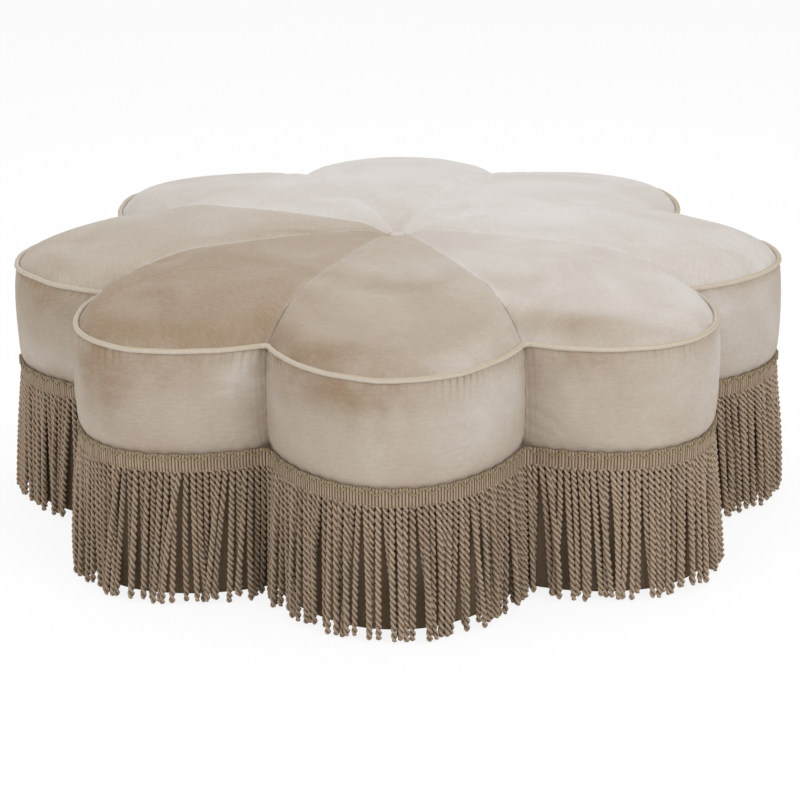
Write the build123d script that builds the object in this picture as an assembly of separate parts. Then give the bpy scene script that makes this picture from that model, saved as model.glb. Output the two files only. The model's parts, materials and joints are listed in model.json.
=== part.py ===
from build123d import *
import math
import os

# Flower-shaped pouf on a plinth: velvet cushion with a welt, bullion fringe below it.
# Millimetres, +Z up, origin on the floor under the middle, one lobe towards -Y.

# Outline in plan, on the centreline of the welt
LOBES = 8
TIP_R = 590.0
NOTCH_R = 468.0
TIP_ROUND = 0.712
BLEND_TURN = math.radians(33.7)
STATIONS = 13
TRACK_STEPS = 400

# Heights above the floor
WELT_Z = 376.0
DECK_TOP_Z = 225.0
HEADER_TOP_Z = 227.0

# Crown of the cushion above the welt
PETAL_RISE = 55.0
PETAL_SHOULDER = 250.0
SEAM_RISE = 53.0
SEAM_SHOULDER = 160.0
CENTRE_RISE = 38.0
CENTRE_HOLE_R = 8.0

# Side of the cushion
SIDE_BULGE = 7.0
SIDE_BULGE_DROP = 66.0
SIDE_TOP_INSET = 1.0
TUCK_RISE = 26.0
TUCK_OUT = 5.0
TUCK_SAG = 2.5
TAB_LAP = 20.0

# Cloth, cord and padding
VELVET_T = 2.3
WELT_R = 4.0
WELT_BEND_R = 10.0
WADDING_INSET = 7.5
SLAB_T = 130.0
PLINTH_INSET = 5.0
COVER_T = 1.5
COVER_TOP_GAP = 3.0
DUST_T = 0.8
DUST_MARGIN = 8.0

# Frame
BOARD_T = 18.0
PANEL_T = 6.0
STUD_W = 45.0
STUD_SETBACK = 120.0
RAIL_T = 18.0
RAIL_SETBACK = 68.0
RAIL_SCREW_SETBACK = 30.0
RAIL_SCREW_SPACING = 160.0
TOGGLE_NOTCH_W = 44.0
TOGGLE_NOTCH_H = 24.0

# Screws, glides and nails
SCREW_R = 2.3
SCREW_L = 48.0
SCREW_HEAD_R = 4.5
SCREW_HEAD_H = 3.0
STUD_SCREW_OFFSET = 12.0
GLIDE_H = 9.2
GLIDE_R = 14.0
GLIDE_EDGE = 2.0
GLIDE_OFFSET = -12.0
NAIL_R = 1.5
NAIL_HEAD_R = 4.0
NAIL_HEAD_H = 1.5
NAIL_SINK = 2.0
NAIL_BITE = 12.0

# Centre tuft
BUTTON_R = 11.0
BUTTON_H = 7.0
BUTTON_RIM = 2.0
TWINE_R = 1.3
TWINE_HOLE_R = 4.0
TOGGLE_R = 15.0
TOGGLE_T = 6.0
KNOT_R = 3.5
KNOT_H = 5.0

# Bullion fringe
HEADER_T = 4.0
HEADER_H = 26.0
STRANDS = 54
STRAND_W = 6.4
STRAND_SEAM_GAP = 8.0
STRAND_LAP = 4.0
STRAND_FLARE = 11.0
STRAND_END_Z = 4.0
STRAND_END_VARY = 3.0
STRAND_END_PHASE = 2.4

# Clearances
FIT = 0.3
BORE_CLEAR = 0.1

# Levels and insets that follow from the sizes above
BASE_Z = GLIDE_H + DUST_T
BASE_TOP_Z = BASE_Z + BOARD_T
DECK_Z = DECK_TOP_Z - BOARD_T
SLAB_TOP_Z = DECK_TOP_Z + SLAB_T
HEADER_Z = HEADER_TOP_Z - HEADER_H
PANEL_OUT = PLINTH_INSET + COVER_T + FIT
PANEL_IN = PANEL_OUT + PANEL_T
BOARD_INSET = PANEL_IN + FIT
TAB_IN = PLINTH_INSET - FIT
TAB_OUT = TAB_IN - VELVET_T
HEADER_IN = TAB_OUT - FIT
HEADER_OUT = HEADER_IN - HEADER_T
FOAM_INSET = WADDING_INSET + FIT
PETAL_INSET = WELT_R + FIT
STUD_R = TIP_R - STUD_SETBACK
RAIL_REACH = NOTCH_R - RAIL_SETBACK
RAIL_SCREW_OUT_R = RAIL_REACH - RAIL_SCREW_SETBACK
RAIL_SCREW_IN_R = RAIL_SCREW_OUT_R - RAIL_SCREW_SPACING

# One lobe seen along its axis: a tip arc that blends into a flank arc on each side
HALF = math.pi / LOBES
NOTCH_X = NOTCH_R * math.cos(HALF)
NOTCH_Y = NOTCH_R * math.sin(HALF)
TIP_ARC_R = TIP_ROUND * NOTCH_Y**2 / (TIP_R - NOTCH_X)
TIP_X = TIP_R - TIP_ARC_R


def lobe_turn(k):
    """Angle in degrees of lobe k, counted from the front."""
    return -90.0 + k * 360.0 / LOBES


def blend_point(inset):
    """Where tip arc and flank arc meet, on the outline set in by inset."""
    r = TIP_ARC_R - inset
    return TIP_X + r * math.cos(BLEND_TURN), r * math.sin(BLEND_TURN)


def flank_radius():
    """Radius of the flank arc that leaves the tip arc smoothly and ends in the notch."""
    bx, by = blend_point(0.0)
    dx = NOTCH_X - bx
    dy = NOTCH_Y - by
    along = dx * math.cos(BLEND_TURN) + dy * math.sin(BLEND_TURN)
    return -(dx**2 + dy**2) / (2 * along)


FLANK_ARC_R = flank_radius()
FLANK_X = TIP_X - (FLANK_ARC_R - TIP_ARC_R) * math.cos(BLEND_TURN)
FLANK_Y = -(FLANK_ARC_R - TIP_ARC_R) * math.sin(BLEND_TURN)


def outline_r(theta, inset):
    """Distance from the middle to the outline set in by inset, at theta from the lobe's axis."""
    turn = abs(theta)
    bx, by = blend_point(inset)
    if turn <= math.atan2(by, bx):
        cx, cy, r = TIP_X, 0.0, TIP_ARC_R - inset
    else:
        cx, cy, r = FLANK_X, FLANK_Y, FLANK_ARC_R - inset
    along = cx * math.cos(turn) + cy * math.sin(turn)
    return along + math.sqrt(r**2 - cx**2 - cy**2 + along**2)


def outline_point(theta, inset):
    """Point of the outline in plan."""
    r = outline_r(theta, inset)
    return r * math.cos(theta), r * math.sin(theta)


def half_arcs(inset, side):
    """Flank arc and half of the tip arc of one lobe, from the notch on one side to the tip."""
    bx, by = blend_point(inset)
    turn = math.atan2(by, bx)
    notch = outline_point(side * HALF, inset)
    flank_mid = outline_point(side * (HALF + turn) / 2, inset)
    tip_mid = outline_point(side * turn / 2, inset)
    tip = outline_point(0.0, inset)
    flank = ThreePointArc(notch, flank_mid, (bx, side * by))
    return [flank, ThreePointArc((bx, side * by), tip_mid, tip)]


def lobe_arcs(inset):
    """Outline of one lobe from notch to notch."""
    return half_arcs(inset, -1) + half_arcs(inset, 1)


def flower_face(inset):
    """Whole outline set in by inset, as a face at z = 0."""
    lobe = lobe_arcs(inset)
    edges = [edge.rotate(Axis.Z, lobe_turn(k)) for k in range(LOBES) for edge in lobe]
    return Face(Wire(edges))


def lobe_band(outer, inner):
    """Strip of one lobe between two insets, ending in the seam planes."""
    ends = [
        Line(outline_point(side * HALF, outer), outline_point(side * HALF, inner))
        for side in (-1, 1)
    ]
    return Face(Wire(lobe_arcs(outer) + lobe_arcs(inner) + ends))


def raised(face, bottom, top):
    """Prism on a flat face, from bottom to top."""
    return Pos(0, 0, bottom) * extrude(face, top - bottom)


def arc_length_stations(count, margin, inset):
    """Angles of points evenly spaced along one lobe's outline, margin in from the notches."""
    angles = [-HALF + 2 * HALF * i / TRACK_STEPS for i in range(TRACK_STEPS + 1)]
    points = [outline_point(a, inset) for a in angles]
    lengths = [0.0]
    for a, b in zip(points, points[1:]):
        lengths.append(lengths[-1] + math.dist(a, b))
    found = []
    for i in range(count):
        wanted = margin + (lengths[-1] - 2 * margin) * i / (count - 1)
        n = max(j for j in range(TRACK_STEPS) if lengths[j] <= wanted)
        share = (wanted - lengths[n]) / (lengths[n + 1] - lengths[n])
        found.append(angles[n] + share * (angles[n + 1] - angles[n]))
    return found


def at(theta, r, z):
    """Point at distance r and height z in the upright plane at theta."""
    return Vector(r * math.cos(theta), r * math.sin(theta), z)


def lobe_loft(section):
    """Solid through the upright sections of one lobe."""
    wires = [Wire(section(theta)) for theta in arc_length_stations(STATIONS, 0.0, 0.0)]
    return Solid.make_loft(wires)


def crest_mid(r_crest, z_crest, r_end, z_end):
    """Middle of the arc that leaves the crest level and falls to the end."""
    run = (r_end - r_crest) / 2
    drop = z_crest - z_end
    radius = ((r_end - r_crest) ** 2 + drop**2) / (2 * drop)
    return r_crest + run, z_crest - radius + math.sqrt(radius**2 - run**2)


def crown_points(theta, depth, rim_inset):
    """Centre, crest and rim of the crown in one upright plane, with the arc middles."""
    swell = 1.0 - (theta / HALF) ** 2
    rise = SEAM_RISE + (PETAL_RISE - SEAM_RISE) * swell
    shoulder = SEAM_SHOULDER + (PETAL_SHOULDER - SEAM_SHOULDER) * swell
    crest = outline_r(theta, 0.0) - shoulder, WELT_Z + rise - depth
    centre = CENTRE_HOLE_R, WELT_Z + CENTRE_RISE - depth
    rim = outline_r(theta, rim_inset), WELT_Z
    return centre, crest_mid(*crest, *centre), crest, crest_mid(*crest, *rim), rim


def crown_arcs(theta, points):
    """The two arcs of the crown, from the centre to the rim."""
    centre, inner_mid, crest, outer_mid, rim = (at(theta, *p) for p in points)
    return [ThreePointArc(centre, inner_mid, crest), ThreePointArc(crest, outer_mid, rim)]


def petal_section(theta):
    """Velvet of one petal, cut in an upright plane."""
    top = crown_points(theta, 0.0, PETAL_INSET)
    under = crown_points(theta, VELVET_T, PETAL_INSET + VELVET_T)
    ends = [Line(at(theta, *top[i]), at(theta, *under[i])) for i in (0, -1)]
    return crown_arcs(theta, top) + crown_arcs(theta, under) + ends


def crown_section(theta):
    """Crown foam under one petal, cut in an upright plane."""
    top = crown_points(theta, VELVET_T + FIT, FOAM_INSET)
    foot_in = at(theta, CENTRE_HOLE_R, SLAB_TOP_Z)
    foot_out = at(theta, top[-1][0], SLAB_TOP_Z)
    wall = Line(at(theta, *top[-1]), foot_out)
    bore = Line(foot_in, at(theta, *top[0]))
    return crown_arcs(theta, top) + [wall, Line(foot_out, foot_in), bore]


def side_points(theta, depth):
    """Side of the cushion from the welt down to the header, depth in from its outer face."""
    top_z = WELT_Z - WELT_R - FIT
    foot_z = HEADER_TOP_Z + FIT
    tuck_z = foot_z + TUCK_RISE
    levels = (
        (SIDE_TOP_INSET, top_z),
        (-SIDE_BULGE, WELT_Z - SIDE_BULGE_DROP),
        (-TUCK_OUT, tuck_z),
        ((TAB_OUT - TUCK_OUT) / 2 - TUCK_SAG, (tuck_z + foot_z) / 2),
        (TAB_OUT, foot_z),
    )
    return [at(theta, outline_r(theta, inset + depth), z) for inset, z in levels]


def side_arcs(points):
    """Bulge and tuck of the side."""
    return [ThreePointArc(*points[0:3]), ThreePointArc(*points[2:5])]


def boxing_section(theta):
    """Velvet of one side panel with the tab behind the header, cut in an upright plane."""
    outer = side_points(theta, 0.0)
    inner = side_points(theta, VELVET_T)
    tab_z = HEADER_TOP_Z - TAB_LAP
    tab_out = at(theta, outline_r(theta, TAB_OUT), tab_z)
    tab_in = at(theta, outline_r(theta, TAB_IN), tab_z)
    tab = [Line(outer[-1], tab_out), Line(tab_out, tab_in), Line(tab_in, inner[-1])]
    return side_arcs(outer) + tab + side_arcs(inner) + [Line(inner[0], outer[0])]


def wadding_section(theta):
    """Wadding between side velvet and foam, cut in an upright plane."""
    outer = side_points(theta, VELVET_T + FIT)
    r = outline_r(theta, WADDING_INSET)
    top = at(theta, r, outer[0].Z)
    foot = at(theta, r, outer[-1].Z)
    back = [Line(outer[-1], foot), Line(foot, top), Line(top, outer[0])]
    return side_arcs(outer) + back


def peg(radius, x, y, bottom, top):
    """Upright round bar."""
    return Pos(x, y, bottom) * extrude(Circle(radius), top - bottom)


def polar(r, degrees):
    """Plan position at a distance and an angle."""
    return r * math.cos(math.radians(degrees)), r * math.sin(math.radians(degrees))


def screw(clear):
    """Countersunk screw pointing down, head flush at z = 0, or its hole with a clearance."""
    head = Pos(0, 0, -SCREW_HEAD_H) * Solid.make_cone(
        SCREW_R + clear, SCREW_HEAD_R + clear, SCREW_HEAD_H
    )
    return head + peg(SCREW_R + clear, 0, 0, -SCREW_L - clear, 0)


def frame_screws(clear, top):
    """Screws of the deck (from above) or of the base (from below)."""
    stud = [polar(STUD_R + STUD_SCREW_OFFSET, lobe_turn(k)) for k in range(LOBES)]
    rail = [
        polar(r, rail_turn() + 90.0 * arm)
        for arm in range(4)
        for r in (RAIL_SCREW_IN_R, RAIL_SCREW_OUT_R)
    ]
    one = screw(clear)
    if top:
        return [Pos(x, y, DECK_TOP_Z) * one for x, y in stud + rail]
    flipped = one.mirror(Plane.XY)
    return [Pos(x, y, BASE_Z) * flipped for x, y in stud + rail]


def rail_turn():
    """Angle of the first cross rail, between two lobes."""
    return lobe_turn(0) + 180.0 / LOBES


def around(shape):
    """One copy of a lobe's piece in each lobe."""
    return [shape.rotate(Axis.Z, lobe_turn(k)) for k in range(LOBES)]


def cross_rail(turn, slot_z, holes):
    """One of two half-lapped rails: slot_z is the bottom of its slot."""
    height = DECK_Z - BASE_TOP_Z
    middle = Pos(0, 0, BASE_TOP_Z + height / 2)
    board = middle * Box(2 * RAIL_REACH, RAIL_T, height)
    slot_w = RAIL_T + 2 * FIT
    slot = Pos(0, 0, slot_z) * Box(
        slot_w, slot_w, height / 2 + FIT, align=(Align.CENTER, Align.CENTER, Align.MIN)
    )
    notch = Pos(0, 0, DECK_Z) * Box(
        TOGGLE_NOTCH_W, TOGGLE_NOTCH_W, 2 * TOGGLE_NOTCH_H
    )
    return (board - slot - notch).rotate(Axis.Z, turn) - holes


def studs(holes):
    """Upright between the boards in each lobe."""
    height = DECK_Z - BASE_TOP_Z
    one = Pos(STUD_R, 0, BASE_TOP_Z + height / 2) * Box(STUD_W, STUD_W, height)
    return [stud - holes for stud in around(one)]


def glide_spots():
    """Plan positions of the glides, one under each stud."""
    return [polar(STUD_R + GLIDE_OFFSET, lobe_turn(k)) for k in range(LOBES)]


def glide():
    """Round glide with a sunk hole for its nail."""
    body = peg(GLIDE_R, 0, 0, 0, GLIDE_H)
    body = chamfer(body.edges().sort_by(Axis.Z)[0], GLIDE_EDGE)
    sink = peg(NAIL_HEAD_R + BORE_CLEAR, 0, 0, 0, NAIL_SINK + NAIL_HEAD_H)
    return body - sink - peg(NAIL_R + BORE_CLEAR, 0, 0, 0, GLIDE_H)


def nail(clear):
    """Nail of a glide, head down."""
    head = peg(NAIL_HEAD_R, 0, 0, NAIL_SINK, NAIL_SINK + NAIL_HEAD_H)
    return head + peg(NAIL_R + clear, 0, 0, NAIL_SINK, BASE_Z + NAIL_BITE + clear)


def welt():
    """Covered cord along the outline, turning tightly in each notch."""
    face = flower_face(0.0)
    notches = face.vertices().sort_by(lambda v: math.hypot(v.X, v.Y))[:LOBES]
    path = Pos(0, 0, WELT_Z) * fillet(notches, WELT_BEND_R).face().outer_wire()
    return sweep(Plane(path @ 0, z_dir=path % 0) * Circle(WELT_R), path)


def button():
    """Domed covered button on the meeting points of the petals."""
    z = WELT_Z + CENTRE_RISE + FIT
    rim = Vector(BUTTON_R, 0, z + BUTTON_RIM)
    crown = Vector(0, 0, z + BUTTON_H)
    mid_r, mid_z = crest_mid(0.0, crown.Z, rim.X, rim.Z)
    profile = Wire([
        Line((0, 0, z), (BUTTON_R, 0, z)),
        Line((BUTTON_R, 0, z), rim),
        ThreePointArc(rim, (mid_r, 0, mid_z), crown),
        Line(crown, (0, 0, z)),
    ])
    return revolve(Face(profile), Axis.Z)


def twine():
    """Twine from the button down to a knot under the toggle."""
    knot_top = DECK_Z - TOGGLE_T
    cord = peg(TWINE_R, 0, 0, knot_top - KNOT_H, WELT_Z + CENTRE_RISE + FIT)
    return cord + peg(KNOT_R, 0, 0, knot_top - KNOT_H, knot_top)


def strand(i, theta):
    """One hanging strand: four sided, flaring outwards to its end."""
    r = outline_r(theta, (HEADER_IN + HEADER_OUT) / 2)
    end_z = STRAND_END_Z + STRAND_END_VARY * (1 + math.sin(STRAND_END_PHASE * i))
    step = HALF / TRACK_STEPS
    ahead = outline_point(min(theta + step, HALF), 0.0)
    behind = outline_point(max(theta - step, -HALF), 0.0)
    tangent = Vector(ahead[0] - behind[0], ahead[1] - behind[1], 0)
    top = at(theta, r, HEADER_Z + STRAND_LAP)
    end = at(theta, r + STRAND_FLARE, end_z)
    square = Plane(end, x_dir=tangent, z_dir=(0, 0, 1)) * Rectangle(STRAND_W, STRAND_W)
    return Solid.extrude(square.face(), top - end)


def fringe():
    """Header of one lobe with its strands."""
    header = raised(lobe_band(HEADER_OUT, HEADER_IN), HEADER_Z, HEADER_TOP_Z)
    thetas = arc_length_stations(STRANDS, STRAND_SEAM_GAP, HEADER_OUT)
    return header.fuse(*(strand(i, theta) for i, theta in enumerate(thetas)))


def write(name, shape):
    """One file for a node."""
    export_step(shape, f"parts/{name}.step")


def write_each(name, shapes):
    """One file for each copy of a repeated piece."""
    for k, shape in enumerate(shapes):
        write(f"{name}_{k + 1}", shape)


def group(shapes):
    """Separate solids kept together as one node."""
    return Compound([solid for shape in shapes for solid in shape.solids()])


os.makedirs("parts", exist_ok=True)

# Frame and its fastenings
deck_holes = frame_screws(BORE_CLEAR, True)
base_holes = frame_screws(BORE_CLEAR, False)
nail_holes = [Pos(x, y, 0) * nail(BORE_CLEAR) for x, y in glide_spots()]
twine_hole = peg(TWINE_HOLE_R, 0, 0, 0, WELT_Z)
board = flower_face(BOARD_INSET)
write("base_board", raised(board, BASE_Z, BASE_TOP_Z) - base_holes - nail_holes)
write("deck_board", raised(board, DECK_Z, DECK_TOP_Z) - deck_holes - twine_hole)
write_each("stud", studs(deck_holes + base_holes))
half_z = (BASE_TOP_Z + DECK_Z) / 2
rail_holes = deck_holes + base_holes
write("cross_rail_a", cross_rail(rail_turn(), half_z, rail_holes))
write("cross_rail_b", cross_rail(rail_turn() + 90.0, BASE_TOP_Z - FIT, rail_holes))
write("deck_screws", group(frame_screws(0.0, True)))
write("base_screws", group(frame_screws(0.0, False)))
write("glides", group([Pos(x, y, 0) * glide() for x, y in glide_spots()]))
write("glide_nails", group([Pos(x, y, 0) * nail(0.0) for x, y in glide_spots()]))

# Plinth and dust cover
panel = raised(lobe_band(PANEL_OUT, PANEL_IN), BASE_Z, DECK_TOP_Z)
write_each("plinth_panel", around(panel))
cover = flower_face(PLINTH_INSET) - flower_face(PLINTH_INSET + COVER_T)
write("plinth_cover", raised(cover.face(), BASE_Z, DECK_TOP_Z - COVER_TOP_GAP))
dust = raised(flower_face(BOARD_INSET + DUST_MARGIN), GLIDE_H, BASE_Z)
write("dust_cover", dust - nail_holes)

# Padding
slab = raised(flower_face(FOAM_INSET), DECK_TOP_Z, SLAB_TOP_Z)
write("foam_slab", slab - peg(TWINE_R + FIT, 0, 0, DECK_TOP_Z, SLAB_TOP_Z))
crown = around(lobe_loft(crown_section))
write("crown_foam", crown[0].fuse(*crown[1:]))
wadding = around(lobe_loft(wadding_section))
write("boxing_wadding", wadding[0].fuse(*wadding[1:]))

# Velvet, welt and tuft
write_each("velvet_petal", around(lobe_loft(petal_section)))
write_each("velvet_boxing", around(lobe_loft(boxing_section)))
write("welt_cord", welt())
write("tuft_button", button())
write("tuft_twine", twine())
toggle = peg(TOGGLE_R, 0, 0, DECK_Z - TOGGLE_T, DECK_Z)
write("tuft_toggle", toggle - peg(TWINE_R + BORE_CLEAR, 0, 0, DECK_Z - TOGGLE_T, DECK_Z))

# Fringe
write_each("bullion_fringe", around(fringe()))
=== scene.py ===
import json
import math

import bpy
import numpy as np
from bpy.props import FloatProperty, FloatVectorProperty, IntProperty, PointerProperty
from mathutils import Matrix, Vector


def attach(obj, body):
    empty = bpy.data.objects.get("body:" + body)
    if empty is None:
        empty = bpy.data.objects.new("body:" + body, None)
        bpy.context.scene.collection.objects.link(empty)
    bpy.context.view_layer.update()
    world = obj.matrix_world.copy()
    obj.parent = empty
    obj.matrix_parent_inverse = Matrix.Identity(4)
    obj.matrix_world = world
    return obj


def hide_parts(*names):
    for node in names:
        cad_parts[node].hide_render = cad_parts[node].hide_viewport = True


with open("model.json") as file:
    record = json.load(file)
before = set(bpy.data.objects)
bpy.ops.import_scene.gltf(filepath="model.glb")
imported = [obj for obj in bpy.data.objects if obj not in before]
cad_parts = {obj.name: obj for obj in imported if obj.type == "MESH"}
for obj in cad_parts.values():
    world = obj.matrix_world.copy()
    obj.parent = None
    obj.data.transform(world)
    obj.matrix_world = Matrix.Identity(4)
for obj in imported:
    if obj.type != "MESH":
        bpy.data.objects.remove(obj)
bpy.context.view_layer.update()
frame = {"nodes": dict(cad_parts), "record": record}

bl_info = {
    "name": "Flower pouf",
    "version": (1, 0, 0),
    "blender": (4, 5, 0),
    "location": "3D View > Sidebar > Pouf",
    "description": "Dresses the frame of a flower-shaped pouf in velvet, welt and bullion fringe",
    "category": "Object",
}

# Outline of the pouf in metres, as in the CAD part
LOBES = 8
HALF = math.pi / LOBES
TIP_R = 0.590
NOTCH_R = 0.468
TIP_ROUND = 0.712
BLEND_TURN = math.radians(33.7)
NOTCH_X = NOTCH_R * math.cos(HALF)
NOTCH_Y = NOTCH_R * math.sin(HALF)
TIP_ARC_R = TIP_ROUND * NOTCH_Y**2 / (TIP_R - NOTCH_X)
TIP_X = TIP_R - TIP_ARC_R

# Heights and layers in metres, as in the CAD part
WELT_Z = 0.376
WELT_R = 0.004
WELT_BEND_R = 0.010
PETAL_RISE = 0.055
PETAL_SHOULDER = 0.250
SEAM_RISE = 0.053
SEAM_SHOULDER = 0.160
CENTRE_RISE = 0.038
CENTRE_HOLE_R = 0.008
PETAL_INSET = 0.0043
VELVET_T = 0.0023
HEADER_TOP_Z = 0.227
HEADER_Z = 0.201
HEADER_IN = 0.0021
HEADER_OUT = -0.0019
PLINTH_INSET = 0.005
COVER_T = 0.0015
BASE_Z = 0.010
COVER_TOP_Z = 0.222
DUST_INSET = 0.0211

# Fullness of the cushion round its middle: height, radius where it starts, radius where it ends
MIDDLE_FULL = 0.0098
MIDDLE_START = 0.045
MIDDLE_END = 0.300

# Side of the cushion: inset from the welt and height, down from the welt to the header
SIDE_TOP = (0.0010, 0.3717)
SIDE_BULGE = (-0.0070, 0.3100)
SIDE_TUCK = (-0.0044, 0.2553)
SIDE_TUCK_MID = (-0.0020, 0.2400)
SIDE_FOOT = (0.0024, 0.2273)

# Heights of the side's last rows, which are hidden behind the header
SIDE_HIDDEN = (0.2200, 0.2120)

# Painted sheen and shade of each petal's pile, from the front lobe round: tone in its middle, change to its
# left, change to its rim (painted shade at the rim where it is positive, in the middle where it is
# negative)
PETAL_NAP_SHEEN = (
    (0.54, 0.06, 0.10), (0.23, 0.04, 0.04), (0.10, 0.06, 0.04), (0.05, 0.02, 0.02),
    (0.06, 0.00, -0.10), (0.12, -0.04, 0.04), (0.48, -0.06, 0.04), (0.76, 0.02, 0.13),
)

# Patches of painted sheen and shade in the petals' pile: lobe, share of the way out, share to its left,
# reach out, reach across, tone
PETAL_SHEEN_MARKS = (
    (0, 0.97, 0.50, 0.07, 0.55, 0.26), (0, 0.58, -0.20, 0.06, 0.90, 0.12),
    (0, 0.45, 0.30, 0.06, 0.80, -0.08), (0, 0.65, 0.15, 0.014, 0.45, -0.06),
    (0, 0.95, -0.65, 0.06, 0.35, -0.14), (0, 0.70, -0.70, 0.12, 0.35, -0.06),
    (0, 0.76, 0.70, 0.07, 0.30, 0.12), (1, 0.92, 0.62, 0.08, 0.50, 0.44),
    (1, 0.68, 0.80, 0.10, 0.30, 0.14), (1, 0.92, -0.45, 0.07, 0.45, -0.16),
    (6, 0.28, -0.85, 0.10, 0.25, 0.22), (6, 0.85, 0.55, 0.12, 0.40, -0.14),
    (7, 0.96, 0.00, 0.05, 0.60, 0.14),
)

# Painted sheen and shade of the pile on each side panel, from the front lobe round
SIDE_NAP_SHEEN = (0.57, 0.54, 0.40, 0.34, 0.28, 0.32, 0.60, 0.60)

# Patches of painted sheen and shade in the side panels' pile: lobe, share of its length, height, reach
# along, reach up, tone
SIDE_SHEEN_MARKS = (
    (0, 0.37, 0.354, 0.100, 0.026, 0.31), (0, 0.16, 0.330, 0.060, 0.040, 0.11),
    (0, 0.82, 0.300, 0.110, 0.060, -0.20), (0, 0.40, 0.322, 0.050, 0.032, 0.10),
    (7, 0.20, 0.335, 0.070, 0.050, 0.45), (7, 0.50, 0.335, 0.055, 0.050, 0.36),
    (7, 0.68, 0.356, 0.080, 0.024, 0.14), (7, 0.93, 0.345, 0.030, 0.040, -0.32),
    (1, 0.06, 0.340, 0.035, 0.040, 0.13), (1, 0.15, 0.357, 0.045, 0.018, 0.18),
    (1, 0.42, 0.320, 0.050, 0.050, -0.13), (1, 0.72, 0.320, 0.080, 0.060, -0.28),
    (6, 0.80, 0.350, 0.090, 0.032, 0.20), (6, 0.75, 0.255, 0.120, 0.026, -0.18),
    (2, 0.08, 0.350, 0.040, 0.030, -0.18), (4, 0.30, 0.350, 0.080, 0.020, 0.25),
    (3, 0.75, 0.340, 0.070, 0.030, 0.20), (5, 0.20, 0.345, 0.060, 0.030, 0.22),
)

# Puckered stretches under the welt: lobe, share of its length, reach
PUCKERS = (
    (7, 0.52, 0.045), (7, 0.90, 0.030), (0, 0.10, 0.025), (0, 0.70, 0.060),
    (0, 0.90, 0.030), (1, 0.45, 0.050), (6, 0.70, 0.040), (2, 0.40, 0.050),
    (3, 0.60, 0.050), (4, 0.35, 0.060), (5, 0.55, 0.050),
)

# The header hangs lower in the middle of each lobe, from the front lobe round
HEADER_DROP = (0.0052, 0.0026, 0.0020, 0.0022, 0.0020, 0.0022, 0.0024, 0.0022)
HEADER_SET = 0.0010
FRINGE_BEND = 0.020
FRINGE_BEND_MIN = 0.003

# How far the strands stand out in the middle of each lobe, as a share of the flare
FLARE_SHARE = (1.62, 1.10, 0.90, 1.00, 1.00, 1.00, 1.00, 1.28)

# Painted shade on the yarn of each lobe, darker where less light falls and paler where more falls, from the
# front lobe round
STRAND_PAINTED_SHADE = (0.01, -0.14, -0.10, 0.00, 0.00, 0.00, -0.09, 0.05)

# Painted light along each petal seam, which lifts the seam's shade, from the seam between the front left
# and front lobes round
SEAM_PAINTED_LIGHT = (0.22, 0.20, 0.08, 0.04, 0.04, 0.04, 0.10, 0.20)

# Fullness of each petal's rim, from the front lobe round
RIM_FULL = (1.00, 1.00, 1.15, 1.10, 1.00, 1.10, 1.15, 1.00)

# How far the middle of each petal has settled in metres, from the front lobe round
PETAL_SETTLED = (0.0000, 0.0000, 0.0035, 0.0040, 0.0010, 0.0030, 0.0035, 0.0000)

# How far the gold of the sewn edge shows on the welt of each lobe, from the front lobe round
WELT_GOLD = (0.75, 0.85, 1.00, 1.00, 0.80, 0.35, 0.25, 0.70)

# Lobes in the order of the tables above, which is the order of the CAD nodes
LOBE_NAMES = (
    "front", "front_right", "right", "back_right", "back", "back_left", "left", "front_left",
)

# Spread of the lengths of uneven waves about the length asked for
RIPPLE_SPREAD = (0.6, 1.7)

# Cloth of the velvet while it swells, and the frames it takes
CLOTH_FRAMES = 20
CLOTH_SETTINGS = {
    "quality": 6,
    "mass": 0.25,
    "tension_stiffness": 18.0,
    "compression_stiffness": 18.0,
    "shear_stiffness": 8.0,
    "bending_stiffness": 0.35,
    "vertex_group_mass": "sewn",
    "use_pressure": True,
}

# Even finishes by slot: name, pale colour, deep colour, cells in a metre, metal, roughness
CELL_FINISHES = {
    "foam": ("cut_foam", (0.93, 0.89, 0.74), (0.84, 0.77, 0.58), 600.0, 0.0, 0.9),
    "wadding": ("soft_wadding", (0.95, 0.95, 0.94), (0.86, 0.86, 0.84), 220.0, 0.0, 0.95),
    "nylon": ("moulded_nylon", (0.88, 0.87, 0.83), (0.80, 0.79, 0.74), 90.0, 0.0, 0.45),
    "steel": ("plated_steel", (0.72, 0.72, 0.71), (0.55, 0.55, 0.54), 300.0, 1.0, 0.35),
    "twine": ("waxed_twine", (0.83, 0.77, 0.64), (0.68, 0.60, 0.46), 900.0, 0.0, 0.7),
}

# Wood finishes by slot: name, pale colour, deep colour, rings in a metre
WOOD_FINISHES = {
    "plywood": ("raw_plywood", (0.80, 0.67, 0.50), (0.66, 0.50, 0.34), 45.0),
    "softwood": ("planed_softwood", (0.87, 0.74, 0.55), (0.72, 0.55, 0.36), 80.0),
}

# Outline


def lobe_turn(k):
    """Angle of lobe k's axis, counted from the front."""
    return -math.pi / 2 + 2 * HALF * k


def flank_arc():
    """Radius and centre of the arc that leaves the tip arc smoothly and ends in the notch."""
    bx = TIP_X + TIP_ARC_R * math.cos(BLEND_TURN)
    by = TIP_ARC_R * math.sin(BLEND_TURN)
    dx = NOTCH_X - bx
    dy = NOTCH_Y - by
    radius = -(dx * dx + dy * dy) / (2 * (dx * math.cos(BLEND_TURN) + dy * math.sin(BLEND_TURN)))
    offset = radius - TIP_ARC_R
    return radius, TIP_X - offset * math.cos(BLEND_TURN), -offset * math.sin(BLEND_TURN)


FLANK_R, FLANK_X, FLANK_Y = flank_arc()


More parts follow.
